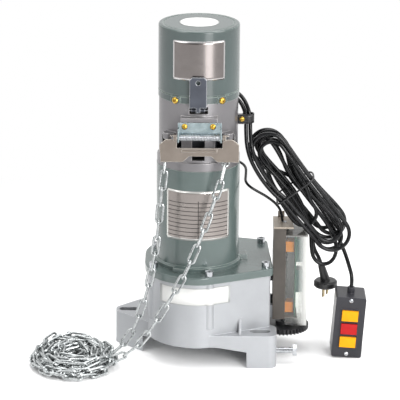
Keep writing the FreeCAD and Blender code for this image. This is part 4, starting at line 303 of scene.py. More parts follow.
# Coated card: pale warm grey with thin ruled lines and a white border
card = label_skin("printed_coated_card", ("8f8884", "9c9591"), border="d8d8d4", ink="4a4644", rows=12,
                  columns=2, sheen=(0.22, 0.3), metallic=0.7)
tube_front = wrap(TUBE_RADIUS + PLATE_LIFT, reach=37.3 * MM, low=155 * MM, high=217 * MM, corner=3 * MM)
sheet("tube_label", tube_front, card, columns=60, rows=16)
# Vinyl: plain white film with a faint grey edge
vinyl = label_skin("white_vinyl_film", ("cfcfcd", "d9d9d7"), border="a9aaa9", ink="b5b5b3", rows=0,
                   columns=0, sheen=(0.3, 0.4), metallic=0.0)
STICKER_RADIUS = 23.5 * MM
STICKER_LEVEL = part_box("top_cap")[1][2] + PLATE_LIFT


def disc_spot(u, v):
    """Places on a round sticker: a square of quads eased out to a circle."""
    across = 2 * u - 1
    along = 2 * v - 1
    x = STICKER_RADIUS * across * math.sqrt(1 - along ** 2 / 2)
    y = STICKER_RADIUS * along * math.sqrt(1 - across ** 2 / 2)
    return (x, y, STICKER_LEVEL)


sheet("cap_sticker", disc_spot, vinyl, columns=24, rows=24)
STRIP_LEFT = -44.5 * MM
STRIP_WIDTH = 84 * MM
STRIP_LOW = 80 * MM
STRIP_HEIGHT = 22 * MM
IN_FRONT = -300 * MM


def wall_spot(u, v):
    """Places on the gearbox wall straight behind the strip, seen from the front."""
    start = Vector((STRIP_LEFT + STRIP_WIDTH * u, IN_FRONT, STRIP_LOW + STRIP_HEIGHT * v))
    _, point, normal, _ = nodes["gearbox_housing"].ray_cast(start, Vector((0, 1, 0)))
    return point + normal * PLATE_LIFT


sheet("gearbox_strip", wall_spot, vinyl, columns=40, rows=2)

# Cap, bracket, clip and switch screws.
# Pan head machine screws with a cross recess; all but the switch's are yellow passivated.
# Yellow passivation: gold toned gloss with darker patches
yellow_zinc = surface("yellow_passivated_zinc", "a8842e", "dbb85c", patch=4, grain=0.5, sheen=(0.18, 0.3),
                      relief=0.03, edge=0.2, metallic=1.0)


def shape_tree(name, start, sizes):
    """A tree that grows a shape from a start, with its sizes and its finish to be given."""
    tree = bpy.data.node_groups.new(name, "GeometryNodeTree")
    kinds = {start: "Geometry", **{size: "Float" for size in sizes}, "Finish": "Material"}
    for socket, kind in kinds.items():
        tree.interface.new_socket(socket, in_out="INPUT", socket_type="NodeSocket" + kind)
    tree.interface.new_socket("Shape", in_out="OUTPUT", socket_type="NodeSocketGeometry")
    return tree, add(tree, "NodeGroupInput").outputs


def put_out(tree, copies, finish):
    """Make the copies real, give them their finish and hand them on."""
    real = add(tree, "GeometryNodeRealizeInstances", links={"Geometry": copies.outputs["Instances"]})
    done = add(tree, "GeometryNodeSetMaterial",
               links={"Geometry": real.outputs["Geometry"], "Material": finish})
    add(tree, "NodeGroupOutput", links={"Shape": done.outputs["Geometry"]})


def screw_tree():
    """Domed heads with a cross recess on each given point, looking the way its facing says."""
    tree, given = shape_tree("pan_head_screws", "Places", ("Radius", "Rise"))
    ball = add(tree, "GeometryNodeMeshUVSphere", {"Segments": 28, "Rings": 14, "Radius": 1.0})
    smooth = add(tree, "GeometryNodeSetShadeSmooth", links={"Geometry": ball.outputs["Mesh"]})
    scale = add(tree, "ShaderNodeCombineXYZ",
                links={"X": given["Radius"], "Y": given["Radius"], "Z": given["Rise"]})
    dome = add(tree, "GeometryNodeTransform",
               links={"Geometry": smooth.outputs["Geometry"], "Scale": scale.outputs["Vector"]})
    recess = add(tree, "GeometryNodeMeshBoolean", {"operation": "DIFFERENCE"},
                 {"Mesh 1": dome.outputs["Geometry"]})
    lift = add(tree, "ShaderNodeCombineXYZ", links={"Z": given["Rise"]})
    slot_width = add(tree, "ShaderNodeMath", {"operation": "MULTIPLY", 1: 0.2}, {0: given["Radius"]})
    for long_axis, short_axis in (("X", "Y"), ("Y", "X")):
        size = add(tree, "ShaderNodeCombineXYZ", links={
            long_axis: given["Radius"], short_axis: slot_width.outputs["Value"], "Z": given["Rise"]})
        bar = add(tree, "GeometryNodeMeshCube", links={"Size": size.outputs["Vector"]})
        raised = add(tree, "GeometryNodeTransform",
                     links={"Geometry": bar.outputs["Mesh"], "Translation": lift.outputs["Vector"]})
        tree.links.new(raised.outputs["Geometry"], recess.inputs["Mesh 2"])
    facing = add(tree, "GeometryNodeInputNamedAttribute", {"data_type": "FLOAT_VECTOR", "Name": "facing"})
    aim = add(tree, "FunctionNodeAlignRotationToVector", {"axis": "Z"},
              {"Vector": facing.outputs["Attribute"]})
    spin = add(tree, "FunctionNodeRandomValue",
               {"data_type": "FLOAT_VECTOR", "Max": (0.0, 0.0, 1.5), "Seed": 3})
    turned = add(tree, "FunctionNodeEulerToRotation", links={"Euler": spin.outputs["Value"]})
    place = add(tree, "FunctionNodeRotateRotation", {"rotation_space": "LOCAL"},
                {"Rotation": aim.outputs["Rotation"], "Rotate By": turned.outputs["Rotation"]})
    copies = add(tree, "GeometryNodeInstanceOnPoints", links={
        "Points": given["Places"], "Instance": recess.outputs["Mesh"], "Rotation": place.outputs["Rotation"]})
    put_out(tree, copies, given["Finish"])
    return tree


def plain_mesh(host):
    """The mesh that an object comes out as; the object itself is dropped."""
    graph = bpy.context.evaluated_depsgraph_get()
    mesh = bpy.data.meshes.new_from_object(host.evaluated_get(graph), depsgraph=graph)
    bpy.data.objects.remove(host)
    return mesh


def grown(name, data, tree, sizes):
    """Run a tree on a curve or mesh and keep the result as a plain mesh piece."""
    host = put_in_scene(name + "_host", data)
    modifier = host.modifiers.new("shape", "NODES")
    modifier.node_group = tree
    for item in tree.interface.items_tree:
        if item.name in sizes:
            modifier[item.identifier] = sizes[item.name]
    mesh = plain_mesh(host)
    mesh.name = name
    return piece(name, mesh)


def screw_places(name, places):
    """A mesh of bare points in millimetres, each with the way it faces."""
    mesh = bpy.data.meshes.new(name)
    mesh.from_pydata([[part * MM for part in spot] for spot, _ in places], [], [])
    facing = mesh.attributes.new("facing", "FLOAT_VECTOR", "POINT")
    for entry, (_, way) in zip(facing.data, places):
        entry.vector = way
    return mesh


CAP_SCREW_FACE = 49.8
CAP_SCREW_HEIGHT = 327
cap_places = []
for angle in (-34, 34, 146, 214):
    way = (math.sin(math.radians(angle)), -math.cos(math.radians(angle)), 0)
    cap_places.append(((CAP_SCREW_FACE * way[0], CAP_SCREW_FACE * way[1], CAP_SCREW_HEIGHT), way))
BOX_LEAN = math.radians(4)
BOX_EDGE_X = 200
BOX_FACE_Y = -31
BOX_SCREW_X = 181.75


def leaned(x, z):
    """A place on the switch's face, tipped with the box about its right bottom edge."""
    return (BOX_EDGE_X + (x - BOX_EDGE_X) * math.cos(BOX_LEAN) + z * math.sin(BOX_LEAN), BOX_FACE_Y,
            -(x - BOX_EDGE_X) * math.sin(BOX_LEAN) + z * math.cos(BOX_LEAN))


TOWARDS_FRONT = (0, -1, 0)
bracket_places = [((x, -55.6, 298.8), TOWARDS_FRONT) for x in (-16.4, 17)]
clip_places = [((51.9, -5.4, 294.5), TOWARDS_FRONT)]
box_places = [(leaned(BOX_SCREW_X, z), TOWARDS_FRONT) for z in (4.3, 72.7)]
pan_screws = screw_tree()
for node_name, places, radius, rise, metal, slot in (
        ("cap_screws", cap_places, 4.2, 2.6, yellow_zinc, "yellow_zinc"),
        ("bracket_screws", bracket_places, 3.7, 2.6, yellow_zinc, "yellow_zinc"),
        ("clip_screw", clip_places, 3.4, 2.4, yellow_zinc, "yellow_zinc"),
        ("switch_box_screws", box_places, 2.7, 1.2, plated_steel, "zinc_sheet")):
    heads = grown(node_name + "_heads", screw_places(node_name + "_places", places), pan_screws,
                  {"Radius": radius * MM, "Rise": rise * MM, "Finish": metal})
    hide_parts(node_name)

# Release lever, guide bracket and guide plate.
# Pressed and plated steel sheet. The lever is pinned in the chain housing's slot, the bracket is screwed
# to the front boss, and the plate is hinged on the bracket.
# Dark zinc: slate grey with its edges painted bright white as a painted highlight
lever_steel = surface("dark_zinc_lever", "4c4f57", "575b64", patch=14, grain=0.7, sheen=(0.3, 0.42),
                      relief=0.04, edge=1.6, edge_wear_and_glint="eceef0", metallic=0.75)
finish_nodes(lever_steel, "release_lever")
# Bright zinc sheet: bluish metal in glossy patches
bright_zinc = surface("bright_zinc_sheet", "8c9da2", "b4c3c6", patch=9, grain=0.7, sheen=(0.14, 0.24),
                      relief=0.03, edge=0.6, edge_wear_and_glint="f0f4f4", metallic=1.0)
finish_nodes(bright_zinc, "guide_bracket")
# Rolled sheet: dull warm grey with pale edges
dull_zinc = surface("dull_rolled_sheet", "786f67", "857c74", patch=30, grain=0.9, sheen=(0.3, 0.4),
                    relief=0.03, edge=1.2, edge_wear_and_glint="efe9df", metallic=0.55)
finish_nodes(dull_zinc, "guide_plate")

# Guide spring.
# A close wound torsion spring of bright wire on the hinge pin between the bracket's ears.
SPRING_LEFT = -22.4 * MM
SPRING_RIGHT = 25.4 * MM
SPRING_WIRE = 1.5 * MM
SPRING_RADIUS = 3.2 * MM
SPRING_TURNS = 27.0
HINGE_Y = -60 * MM
HINGE_Z = 286.5 * MM


def spring_tree():
    """A wound wire along X that starts at its left end."""
    tree, given = shape_tree("wound_wire", "Start", ("Wire", "Mean radius", "Length", "Turns"))
    coil = add(tree, "GeometryNodeCurveSpiral", {"Resolution": 18}, {
        "Rotations": given["Turns"], "Start Radius": given["Mean radius"], "End Radius": given["Mean radius"],
        "Height": given["Length"]})
    half_wire = add(tree, "ShaderNodeMath", {"operation": "MULTIPLY", 1: 0.5}, {0: given["Wire"]})
    ring = add(tree, "GeometryNodeCurvePrimitiveCircle", {"Resolution": 8},
               {"Radius": half_wire.outputs["Value"]})
    wire = add(tree, "GeometryNodeCurveToMesh", {"Fill Caps": True},
               {"Curve": coil.outputs["Curve"], "Profile Curve": ring.outputs["Curve"]})
    laid = add(tree, "GeometryNodeTransform", {"Rotation": (0.0, math.pi / 2, 0.0)},
               {"Geometry": wire.outputs["Mesh"]})
    smooth = add(tree, "GeometryNodeSetShadeSmooth", links={"Geometry": laid.outputs["Geometry"]})
    copies = add(tree, "GeometryNodeInstanceOnPoints",
                 links={"Points": given["Start"], "Instance": smooth.outputs["Geometry"]})
    put_out(tree, copies, given["Finish"])
    return tree


spring_start = bpy.data.meshes.new("spring_start")
spring_start.from_pydata([(SPRING_LEFT, HINGE_Y, HINGE_Z)], [], [])
spring_coils = grown("guide_spring_coils", spring_start, spring_tree(), {
    "Wire": SPRING_WIRE, "Mean radius": SPRING_RADIUS, "Length": SPRING_RIGHT - SPRING_LEFT,
    "Turns": SPRING_TURNS, "Finish": plated_steel})
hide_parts("guide_spring")

# Limit switch unit.
# A dark folded tray on posts from the gearbox wall, with a beige top plate and a clear moulded cover.
# Orange nuts ride on the lead screw inside and trip two switches on a board.
# Dark powder coat: brown grey satin, with a paler tone painted along the folds
dark_tray = surface("dark_powder_coat", "37322d", "49433d", patch=25, grain=0.9, sheen=(0.3, 0.42),
                    relief=0.05, edge=0.5, edge_wear_and_glint="9a9187")
finish_nodes(dark_tray, "limit_tray")
# Passivated plate: beige grey with a weak metal sheen
cream_plate = surface("passivated_steel_plate", "8f8578", "a0968a", patch=30, grain=0.8, sheen=(0.35, 0.45),
                      relief=0.03, edge=0.5, edge_wear_and_glint="d6cec2", metallic=0.3)
finish_nodes(cream_plate, "limit_top_plate")
# Orange nylon: strong flat orange with hardly any gloss
orange_nylon = surface("orange_nylon", "ff8c00", "ffa010", patch=8, grain=0.8, sheen=(0.35, 0.45),
                       relief=0.05, specular=0.15)
finish_nodes(orange_nylon, "limit_nut_low", "limit_nut_high")
# Epoxy board: deep green gloss
green_board = surface("green_epoxy_board", "1f5e47", "2b6c55", patch=5, grain=0.6, sheen=(0.3, 0.42),
                      relief=0.03, edge=0.2)
finish_nodes(green_board, "switch_board")
# Phenolic case: muted teal
teal_case = surface("teal_phenolic_case", "2f6762", "3f7a74", patch=7, grain=0.6, sheen=(0.4, 0.5),
                    relief=0.05)
finish_nodes(teal_case, "limit_switches")
# Moulded nylon: plain mid grey
grey_post = surface("grey_moulded_nylon", "5b5d60", "6f7174", patch=8, grain=0.7, sheen=(0.4, 0.5),
                    relief=0.05)
finish_nodes(grey_post, "limit_posts")
# Acetal: near black with a soft gloss
black_gear = surface("black_acetal", "1b1b1d", "29292b", patch=8, grain=0.6, sheen=(0.3, 0.42), relief=0.04,
                     edge=0.3)
finish_nodes(black_gear, "limit_gear")
# Clear moulding: see-through face on, mirror bright at a glancing angle, with a faint haze.
# It turns milky towards its right wall, its lid is dark, and its back wall behind the nuts is frosted grey.
# Where the cover's zones begin or end
COVER_LID = 149 * MM
COVER_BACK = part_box("limit_cover")[1][1] - 2.5 * MM
MILKY_FROM = 122 * MM
MILKY_TO = 132 * MM
FROST_FULL = 118 * MM
FROST_GONE = 121 * MM
BLUR = 0.5 * MM
clear_cover, clear_tree = blank_material("clear_polycarbonate")
clear_place = add(clear_tree, "ShaderNodeTexCoord").outputs["Object"]
haze = add(clear_tree, "ShaderNodeTexNoise", {"Scale": 25.0, "Detail": 2.0}, {"Vector": clear_place})
film = add(clear_tree, "ShaderNodeMapRange", {"To Min": 0.01, "To Max": 0.04}, {"Value": haze.outputs["Fac"]})
reach = add(clear_tree, "ShaderNodeSeparateXYZ", links={"Vector": clear_place}).outputs
lid = add(clear_tree, "ShaderNodeMapRange", {"From Min": COVER_LID - BLUR, "From Max": COVER_LID + BLUR},
          {"Value": reach["Z"]}).outputs["Result"]
wall = add(clear_tree, "ShaderNodeMapRange", {"From Min": MILKY_FROM, "From Max": MILKY_TO, "To Max": 0.42},
           {"Value": reach["X"]}).outputs["Result"]
rear = add(clear_tree, "ShaderNodeMapRange", {"From Min": COVER_BACK - BLUR, "From Max": COVER_BACK + BLUR},
           {"Value": reach["Y"]}).outputs["Result"]
left = add(clear_tree, "ShaderNodeMapRange",
           {"From Min": FROST_FULL, "From Max": FROST_GONE, "To Min": 0.85, "To Max": 0.0},
           {"Value": reach["X"]}).outputs["Result"]
sides = add(clear_tree, "ShaderNodeMath", {"operation": "ADD"}, {0: film.outputs["Result"], 1: wall})
shade = add(clear_tree, "ShaderNodeMath", {"operation": "MULTIPLY", 1: 0.7}, {0: lid})
frost = add(clear_tree, "ShaderNodeMath", {"operation": "MULTIPLY"}, {0: rear, 1: left}).outputs["Value"]
milk = add(clear_tree, "ShaderNodeMath", {"operation": "MAXIMUM"},
           {0: sides.outputs["Value"], 1: shade.outputs["Value"]}).outputs["Value"]
veil = add(clear_tree, "ShaderNodeMath", {"operation": "MAXIMUM"}, {0: milk, 1: frost}).outputs["Value"]
tint = add(clear_tree, "ShaderNodeMixRGB", {"Color1": colour("f2f2f0"), "Color2": colour("6b6a67")},
           {"Fac": lid})
tone = add(clear_tree, "ShaderNodeMixRGB", {"Color2": colour("7b828a")},
           {"Fac": frost, "Color1": tint.outputs["Color"]})
glance = add(clear_tree, "ShaderNodeFresnel", {"IOR": 1.5}).outputs["Fac"]
through = add(clear_tree, "ShaderNodeBsdfTransparent", {"Color": colour("f4f5f3")})
cloudy = add(clear_tree, "ShaderNodeBsdfDiffuse", links={"Color": tone.outputs["Color"]})
mirror = add(clear_tree, "ShaderNodeBsdfAnisotropic", {"Roughness": 0.06})
veiled = add(clear_tree, "ShaderNodeMixShader",
             links={"Fac": veil, 1: through.outputs["BSDF"], 2: cloudy.outputs["BSDF"]})
shown = add(clear_tree, "ShaderNodeMixShader",
            links={"Fac": glance, 1: veiled.outputs["Shader"], 2: mirror.outputs["BSDF"]})
add(clear_tree, "ShaderNodeOutputMaterial", links={"Surface": shown.outputs["Shader"]})
finish_nodes(clear_cover, "limit_cover")

# Plug and wall switch.
# Mouldings with a spark eroded grain; the three buttons are coloured caps in the switch's face.
# Black moulding: black with a satin sheen
black_moulding = surface("black_grained_moulding", "131314", "1d1d1f", patch=8, grain=0.55, sheen=(0.3, 0.42),
                         relief=0.05, edge=0.5)
finish_nodes(black_moulding, "plug_body")
# Dark moulding: charcoal grey with slightly paler edges
switch_moulding = surface("dark_grey_moulding", "28282c", "313136", patch=25, grain=0.6, sheen=(0.3, 0.4),
                          relief=0.04, edge=0.7, edge_wear_and_glint="55555b", specular=0.3)
finish_nodes(switch_moulding, "switch_box_body", "switch_box_front")
# Button caps: clean yellow and red with a low gloss
yellow_cap = surface("yellow_button_cap", "dc8f00", "e69a00", patch=12, grain=0.8, sheen=(0.3, 0.4),
                     relief=0.02, edge=0.5, specular=0.2)
finish_nodes(yellow_cap, "button_down", "button_up")
red_cap = surface("red_button_cap", "9c1014", "aa181a", patch=12, grain=0.8, sheen=(0.3, 0.4), relief=0.02,
                  edge=0.5, specular=0.2)
finish_nodes(red_cap, "button_stop")
# Nickel brass: dull gold metal
brass_pin = surface("nickel_brass_pin", "8c7b56", "ab9a72", patch=4, grain=0.5, sheen=(0.22, 0.36),
                    relief=0.02, edge=0.3, metallic=1.0)
finish_nodes(brass_pin, "plug_pins")

# Mains lead and switch lead.
# Round black rubber cords from the boss behind the chain housing, through the clip and folded into one hank.
# One ends in the plug and the other in the wall switch.
# Cable rubber: deep black with a thin highlight along each cord
cable_rubber = surface("black_cable_rubber", "08090a", "111214", patch=14, grain=0.6, sheen=(0.15, 0.24),
                       relief=0.02, edge=0.1, specular=0.25)
CORD = 4.8 * MM
# Places in the hank: across it along the tie, along it down from the tie, and its depth away from the camera
HANK_MIDDLE = Vector((117.6, 0, 205.5))
ACROSS = Vector((0.798, 0, 0.602))
ALONG = Vector((0.602, 0, -0.798))
SUPPLY_DEPTH = -9.6
LAST_DEPTH = 30
ON_LEFT = -1
ON_RIGHT = 1
# A loop's end turns by eighths: the tangent of 22.5 degrees spaces its corners,
# and its flanks run on by a little more than that
EIGHTH = 0.414
FLANK = 1.4 * EIGHTH
# Where the tie still holds a strand in: the share of its spread it has, and the share of its reach
HELD_SPREAD = 0.2
HELD_REACH = 0.36
# Each turn: its depth, its places under the tie on the left and right, then its lower and its upper end,
# an end being the place across, the place along and half the loop's width, or none for the loose turn
MAINS_TURNS = [(-4.6, -20, 23.5, (4, 91, 20.5), (4, -80, 20.5)),
               (0.4, -23.5, 12, (-9.8, 46, 15.6), (8, -74, 15.6)),
               (10.4, -13.5, 8, (-1.5, 84, 15.6), (8.5, -70, 15.6)),
               (15.4, -4, 14, (-5.5, 93, 15.6), (6, -76, 17)),
               (25.2, -24, 20, (4, 84, 20.5), (1, -78, 20.5))]
SWITCH_TURNS = [(-4.6, -14.5, 18.3, (4, 78, 15.6), (4, -68, 15.6)),
                (5.4, -8.7, 4.5, None, (-5, -77, 15.6)),
                (20.4, -9, 0, (8, 80, 15.6), (-5, -72, 15.6)),
                (25.2, -8, 3, (4, 70, 15.6), (1, -64, 15.6))]
# The one turn that has slipped out of the hank's lower end and hangs straight down
LOOSE_TURN = [(131, 5.4, 168), (138, 5, 148), (138.3, 4, 132), (140.5, 3, 118), (148.5, 3, 109.5),
              (159.5, 3, 109.5), (167.5, 3, 118), (169.5, 4, 132), (163, 5, 152), (146, 5.4, 176)]


def hank_place(across, along, depth):
    """A place in the hank, in millimetres of the part's frame."""
    return tuple(HANK_MIDDLE + ACROSS * across + ALONG * along + Vector((0, depth, 0)))


def loop_end(end, side, near, far):
    """Points of one rounded end of a turn, from the given side to the other, passing between two depths."""
    across, along, half = end
    inward = -half if along > 0 else half
    corners = [(1, 1 + FLANK), (1, 1 - EIGHTH), (EIGHTH, 0), (-EIGHTH, 0), (-1, 1 - EIGHTH), (-1, 1 + FLANK)]
    last = len(corners) - 1
    return [hank_place(across + side * half * out, along + inward * back, near + (far - near) * step / last)
            for step, (out, back) in enumerate(corners)]


def held_in(held, side, end, depth):
    """A point on the way from the tie to a loop's end, where the tie still holds the strand in."""
    across, along, half = end
    reach = along - half if along > 0 else along + half
    return hank_place(held + HELD_SPREAD * (across + side * half - held), HELD_REACH * reach, depth)


def hank_turns(turns):
    """Down the left and up the right of each turn, every one lying behind the one before."""
    points = []
    depths = [turn[0] for turn in turns] + [LAST_DEPTH]
    came_from = None
    for order, (depth, left, right, lower, upper) in enumerate(turns):
        start = depth if order else SUPPLY_DEPTH
        if came_from:
            points.append(held_in(left, ON_LEFT, came_from, start))
        points.append(hank_place(left, 0, start))
        if lower:
            points += [held_in(left, ON_LEFT, lower, start)] + loop_end(lower, ON_LEFT, start, depth)
            points.append(held_in(right, ON_RIGHT, lower, depth))
        else:
            points += LOOSE_TURN
        points += [hank_place(right, 0, depth), held_in(right, ON_RIGHT, upper, depth)]
        points += loop_end(upper, ON_RIGHT, depth, depths[order + 1])
        came_from = upper
    return points


def lay_spline(data, points, closed=False):
    """Lay a smooth spline in a curve by points in millimetres."""
    data.dimensions = "3D"
    spline = data.splines.new("NURBS")
    spline.points.add(len(points) - 1)
    for knot, point in zip(spline.points, points):
        knot.co = (*[part * MM for part in point], 1)
    spline.order_u = 3
    spline.use_endpoint_u = not closed
    spline.use_cyclic_u = closed


def cord_curve(name, points, width, closed=False):
    """A round cord on a smooth spline by given points in millimetres."""
    data = bpy.data.curves.new(name, "CURVE")
    data.bevel_depth = width / 2
    data.bevel_resolution = 4
    data.resolution_u = 8
    data.use_fill_caps = True
    lay_spline(data, points, closed)
    data.materials.append(cable_rubber)
    made = put_in_scene(name, data)
    if not closed:
        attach(made, "base")
    return made


MAINS_IN = [(4, 52.5, 312), (20, 52.5, 312), (36, 42.5, 312), (46, 27, 311.5), (50.8, 14, 309.5),
            (54.3, 5, 304.5), (56.6, 0.6, 297.5), (56.8, 0.2, 289), (57, -4, 276), (58, -9.6, 262),
            (62.5, -9.8, 245), (75, -9.7, 222), (90, -9.6, 203.5)]
MAINS_OUT = [(113, 30, 202), (122, 30, 187), (131, 30, 168), (137.5, 27, 150), (140, 18, 137),
             (142.5, 14.5, 124), (149.1, 15.8, 112.6), (151.5, 17, 104)]
mains_lead = cord_curve("mains_lead", MAINS_IN + hank_turns(MAINS_TURNS) + MAINS_OUT, CORD)
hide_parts("supply_cables", "plug_lead", "cable_hank")

SWITCH_IN = [(4, 52.5, 319.5), (21, 52.5, 319.5), (39, 43, 319.5), (49.8, 28, 315.8), (54.7, 15, 313),
             (58.6, 7, 306.5), (61.4, 3.8, 297.5), (62, 3.6, 289), (62.2, -1.5, 275), (63.5, -9.6, 261),
             (69, -9.8, 244), (81, -9.7, 223), (95, -9.6, 205.5)]
SWITCH_OUT = [(90.3, 30, 222.5), (122.4, 30, 209), (141, 30, 186), (160, 30, 158), (171, 28, 138),
              (177, 19, 127), (181, 9, 119), (185, -3, 108), (188.5, -10.5, 97), (187.65, -10.5, 85.07)]
switch_lead = cord_curve("switch_lead_cord", SWITCH_IN + hank_turns(SWITCH_TURNS) + SWITCH_OUT, CORD)
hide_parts("switch_lead")

# Cable clip.
# A black strap of soft plastic, bent round both cords and screwed by its tail to the side boss.
STRAP_MIDDLE = (59.6, 1.8)
STRAP_RADIUS = 6.5
STRAP_TAIL = 12.5
STRAP_LOW = 289
STRAP_HIGH = 300
STRAP_THICK = 1.2 * MM


def strap_spot(u, v):
    """Places along the strap: its straight tail first, then once round the cords."""
    around = 2 * math.pi * STRAP_RADIUS
    gone = u * (STRAP_TAIL + around) - STRAP_TAIL
    turn = max(gone, 0) / STRAP_RADIUS
    x = STRAP_MIDDLE[0] + min(gone, 0) + STRAP_RADIUS * math.sin(turn)
    y = STRAP_MIDDLE[1] - STRAP_RADIUS * math.cos(turn)
    return (x * MM, y * MM, (STRAP_LOW + (STRAP_HIGH - STRAP_LOW) * v) * MM)


clip_strap = sheet("clip_strap", strap_spot, black_moulding, columns=60, rows=3, thickness=STRAP_THICK,
                   offset=0)
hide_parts("cable_clip")

# Hank tie.
# A thin black plastic covered wire drawn once round the whole hank.
TIE_WIDTH = 2.2 * MM
TIE_HALF = 27.3
TIE_DEPTH = 24
TIE_MIDDLE = (SUPPLY_DEPTH + LAST_DEPTH) / 2
# Its way round the hank, in shares of its half width and half depth
TIE_CORNERS = [(1, -0.35), (0.97, 0.25), (0.84, 0.75), (0.6, 1), (0.1, 1), (-0.5, 1), (-0.9, 0.95), (-1, 0.6),
               (-1, 0), (-1, -0.7), (-0.86, -1), (-0.3, -1), (0.3, -1), (0.8, -1), (0.97, -0.8)]
tie_points = [hank_place(TIE_HALF * wide, 0, TIE_MIDDLE + TIE_DEPTH * deep) for wide, deep in TIE_CORNERS]
tie_mesh = plain_mesh(cord_curve("hank_tie_curve", tie_points, TIE_WIDTH, closed=True))
tie_wire = piece("hank_tie_wire", tie_mesh, black_moulding)
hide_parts("hank_tie")

# Limit lead.
# A thin black lead from the motor's wiring, past the edge of the hank and down to the limit unit.
LIMIT_LEAD = 3.2 * MM
LIMIT_ROUTE = [(30, 40, 226), (40.5, 50, 226), (50, 53.5, 224.5), (58.5, 44, 220.5), (58, 28, 214.5),
               (57, 15, 210.5), (62.2, 9, 205.8), (71.5, 9, 200), (84, 9, 193), (96, 10, 183), (102, 12, 172),
               (103, 14, 161)]
limit_lead = cord_curve("limit_lead_cord", LIMIT_ROUTE, LIMIT_LEAD)
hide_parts("limit_lead")

# Hand chain.
# Welded oval links of galvanised wire, laid round the pocket wheel, hanging down and heaped on the floor.
# Galvanised wire: bright grey metal, lighter where the zinc runs thick
galvanised = surface("galvanised_chain_wire", "989c9d", "c8cbcb", patch=5, grain=0.6, sheen=(0.22, 0.34),
                     relief=0.04, edge=0.3, metallic=1.0)
finish_nodes(galvanised, "hand_chain_left", "hand_chain_right")
LINK_WIRE = 3 * MM
LINK_LENGTH = 23.8 * MM
LINK_WIDTH = 7.6 * MM
LINK_PITCH = 17.6 * MM


def heap_tree():
    """Links along a path, each turned a quarter against the last and tipped a little at random."""
    tree, given = shape_tree("heaped_links", "Path", ("Wire", "Length", "Width", "Pitch"))
    oval = add(tree, "GeometryNodeCurvePrimitiveQuadrilateral",
               links={"Width": given["Length"], "Height": given["Width"]})
    # Just under half the width, so that the ends come out round
    bend = add(tree, "ShaderNodeMath", {"operation": "MULTIPLY", 1: 0.499}, {0: given["Width"]})
    rounded = add(tree, "GeometryNodeFilletCurve", {"mode": "POLY", "Count": 6},
                  {"Curve": oval.outputs["Curve"], "Radius": bend.outputs["Value"]})
    half_wire = add(tree, "ShaderNodeMath", {"operation": "MULTIPLY", 1: 0.5}, {0: given["Wire"]})
    ring = add(tree, "GeometryNodeCurvePrimitiveCircle", {"Resolution": 8},
               {"Radius": half_wire.outputs["Value"]})
    link = add(tree, "GeometryNodeCurveToMesh",
               links={"Curve": rounded.outputs["Curve"], "Profile Curve": ring.outputs["Curve"]})
    smooth = add(tree, "GeometryNodeSetShadeSmooth", links={"Geometry": link.outputs["Mesh"]})
    spots = add(tree, "GeometryNodeCurveToPoints", {"mode": "LENGTH"},
                {"Curve": given["Path"], "Length": given["Pitch"]})
    order = add(tree, "GeometryNodeInputIndex")
    odd = add(tree, "ShaderNodeMath", {"operation": "MODULO", 1: 2.0}, {0: order.outputs["Index"]})
    quarter = add(tree, "ShaderNodeMath", {"operation": "MULTIPLY_ADD", 1: math.pi / 2, 2: -math.pi / 4},
                  {0: odd.outputs["Value"]})
    jitter = add(tree, "FunctionNodeRandomValue", {
        "data_type": "FLOAT_VECTOR", "Min": (-0.4, -0.14, -0.14), "Max": (0.4, 0.14, 0.14), "Seed": 4})
    roll = add(tree, "ShaderNodeCombineXYZ", links={"X": quarter.outputs["Value"]})
    tipped = add(tree, "ShaderNodeVectorMath", {"operation": "ADD"},
                 {0: roll.outputs["Vector"], 1: jitter.outputs["Value"]})
    turned = add(tree, "FunctionNodeEulerToRotation", links={"Euler": tipped.outputs["Vector"]})
    along = add(tree, "FunctionNodeAlignRotationToVector", {"axis": "X"},
                {"Vector": spots.outputs["Tangent"]})
    place = add(tree, "FunctionNodeRotateRotation", {"rotation_space": "LOCAL"},
                {"Rotation": along.outputs["Rotation"], "Rotate By": turned.outputs["Rotation"]})
    copies = add(tree, "GeometryNodeInstanceOnPoints", links={
        "Points": spots.outputs["Points"], "Instance": smooth.outputs["Geometry"],
        "Rotation": place.outputs["Rotation"]})
    put_out(tree, copies, given["Finish"])
    return tree


HEAP_MIDDLE = (-149, -64)
HEAP_REACH = 50
# Each ring of the heap: its radius, its height and the shift of its middle
HEAP_RINGS = [(50, 7.25, 0, 0), (41, 7.25, 1, -1), (32, 7.25, -1, 1), (23, 7.25, 0, 1), (13, 7.25, 1, -1),
              (18, 12, -1, 1), (28, 12.5, 0.5, 0.5), (38, 13, -1, 0), (47.5, 13, 1, -1), (43.5, 19.5, 0, 1),
              (34.5, 19.5, 0, 0), (25, 18.5, 1, -1), (15, 17.5, -1, 1)]
# How the rings differ: where each starts, how far from round it is, how it leans and how it waves
RING_STEPS = 12
RING_LEAD = 0.13
RING_UNEVEN = 0.04
RING_LEAN = 0.25
RING_WAVE = 1.2


def heap_path():
    """A loose coil of uneven rings on one spline."""
    data = bpy.data.curves.new("heap_path", "CURVE")
    data.resolution_u = 6
    points = []
    for index, (radius, height, shift_x, shift_y) in enumerate(HEAP_RINGS):
        for step in range(RING_STEPS):
            turn = 2 * math.pi * (step / RING_STEPS + RING_LEAD * index)
            reach = radius * (1 + RING_UNEVEN * math.sin(3 * turn + index))
            lean = 1 + RING_LEAN * math.sin(turn) * radius / HEAP_REACH
            points.append((HEAP_MIDDLE[0] + shift_x + reach * math.cos(turn),
                           HEAP_MIDDLE[1] + shift_y + reach * math.sin(turn),
                           height * lean + RING_WAVE * math.sin(2 * turn + index)))
    lay_spline(data, points)
    return data


chain_heap = grown("chain_heap", heap_path(), heap_tree(), {
    "Wire": LINK_WIRE, "Length": LINK_LENGTH, "Width": LINK_WIDTH, "Pitch": LINK_PITCH, "Finish": galvanised})
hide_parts("hand_chain_pile")

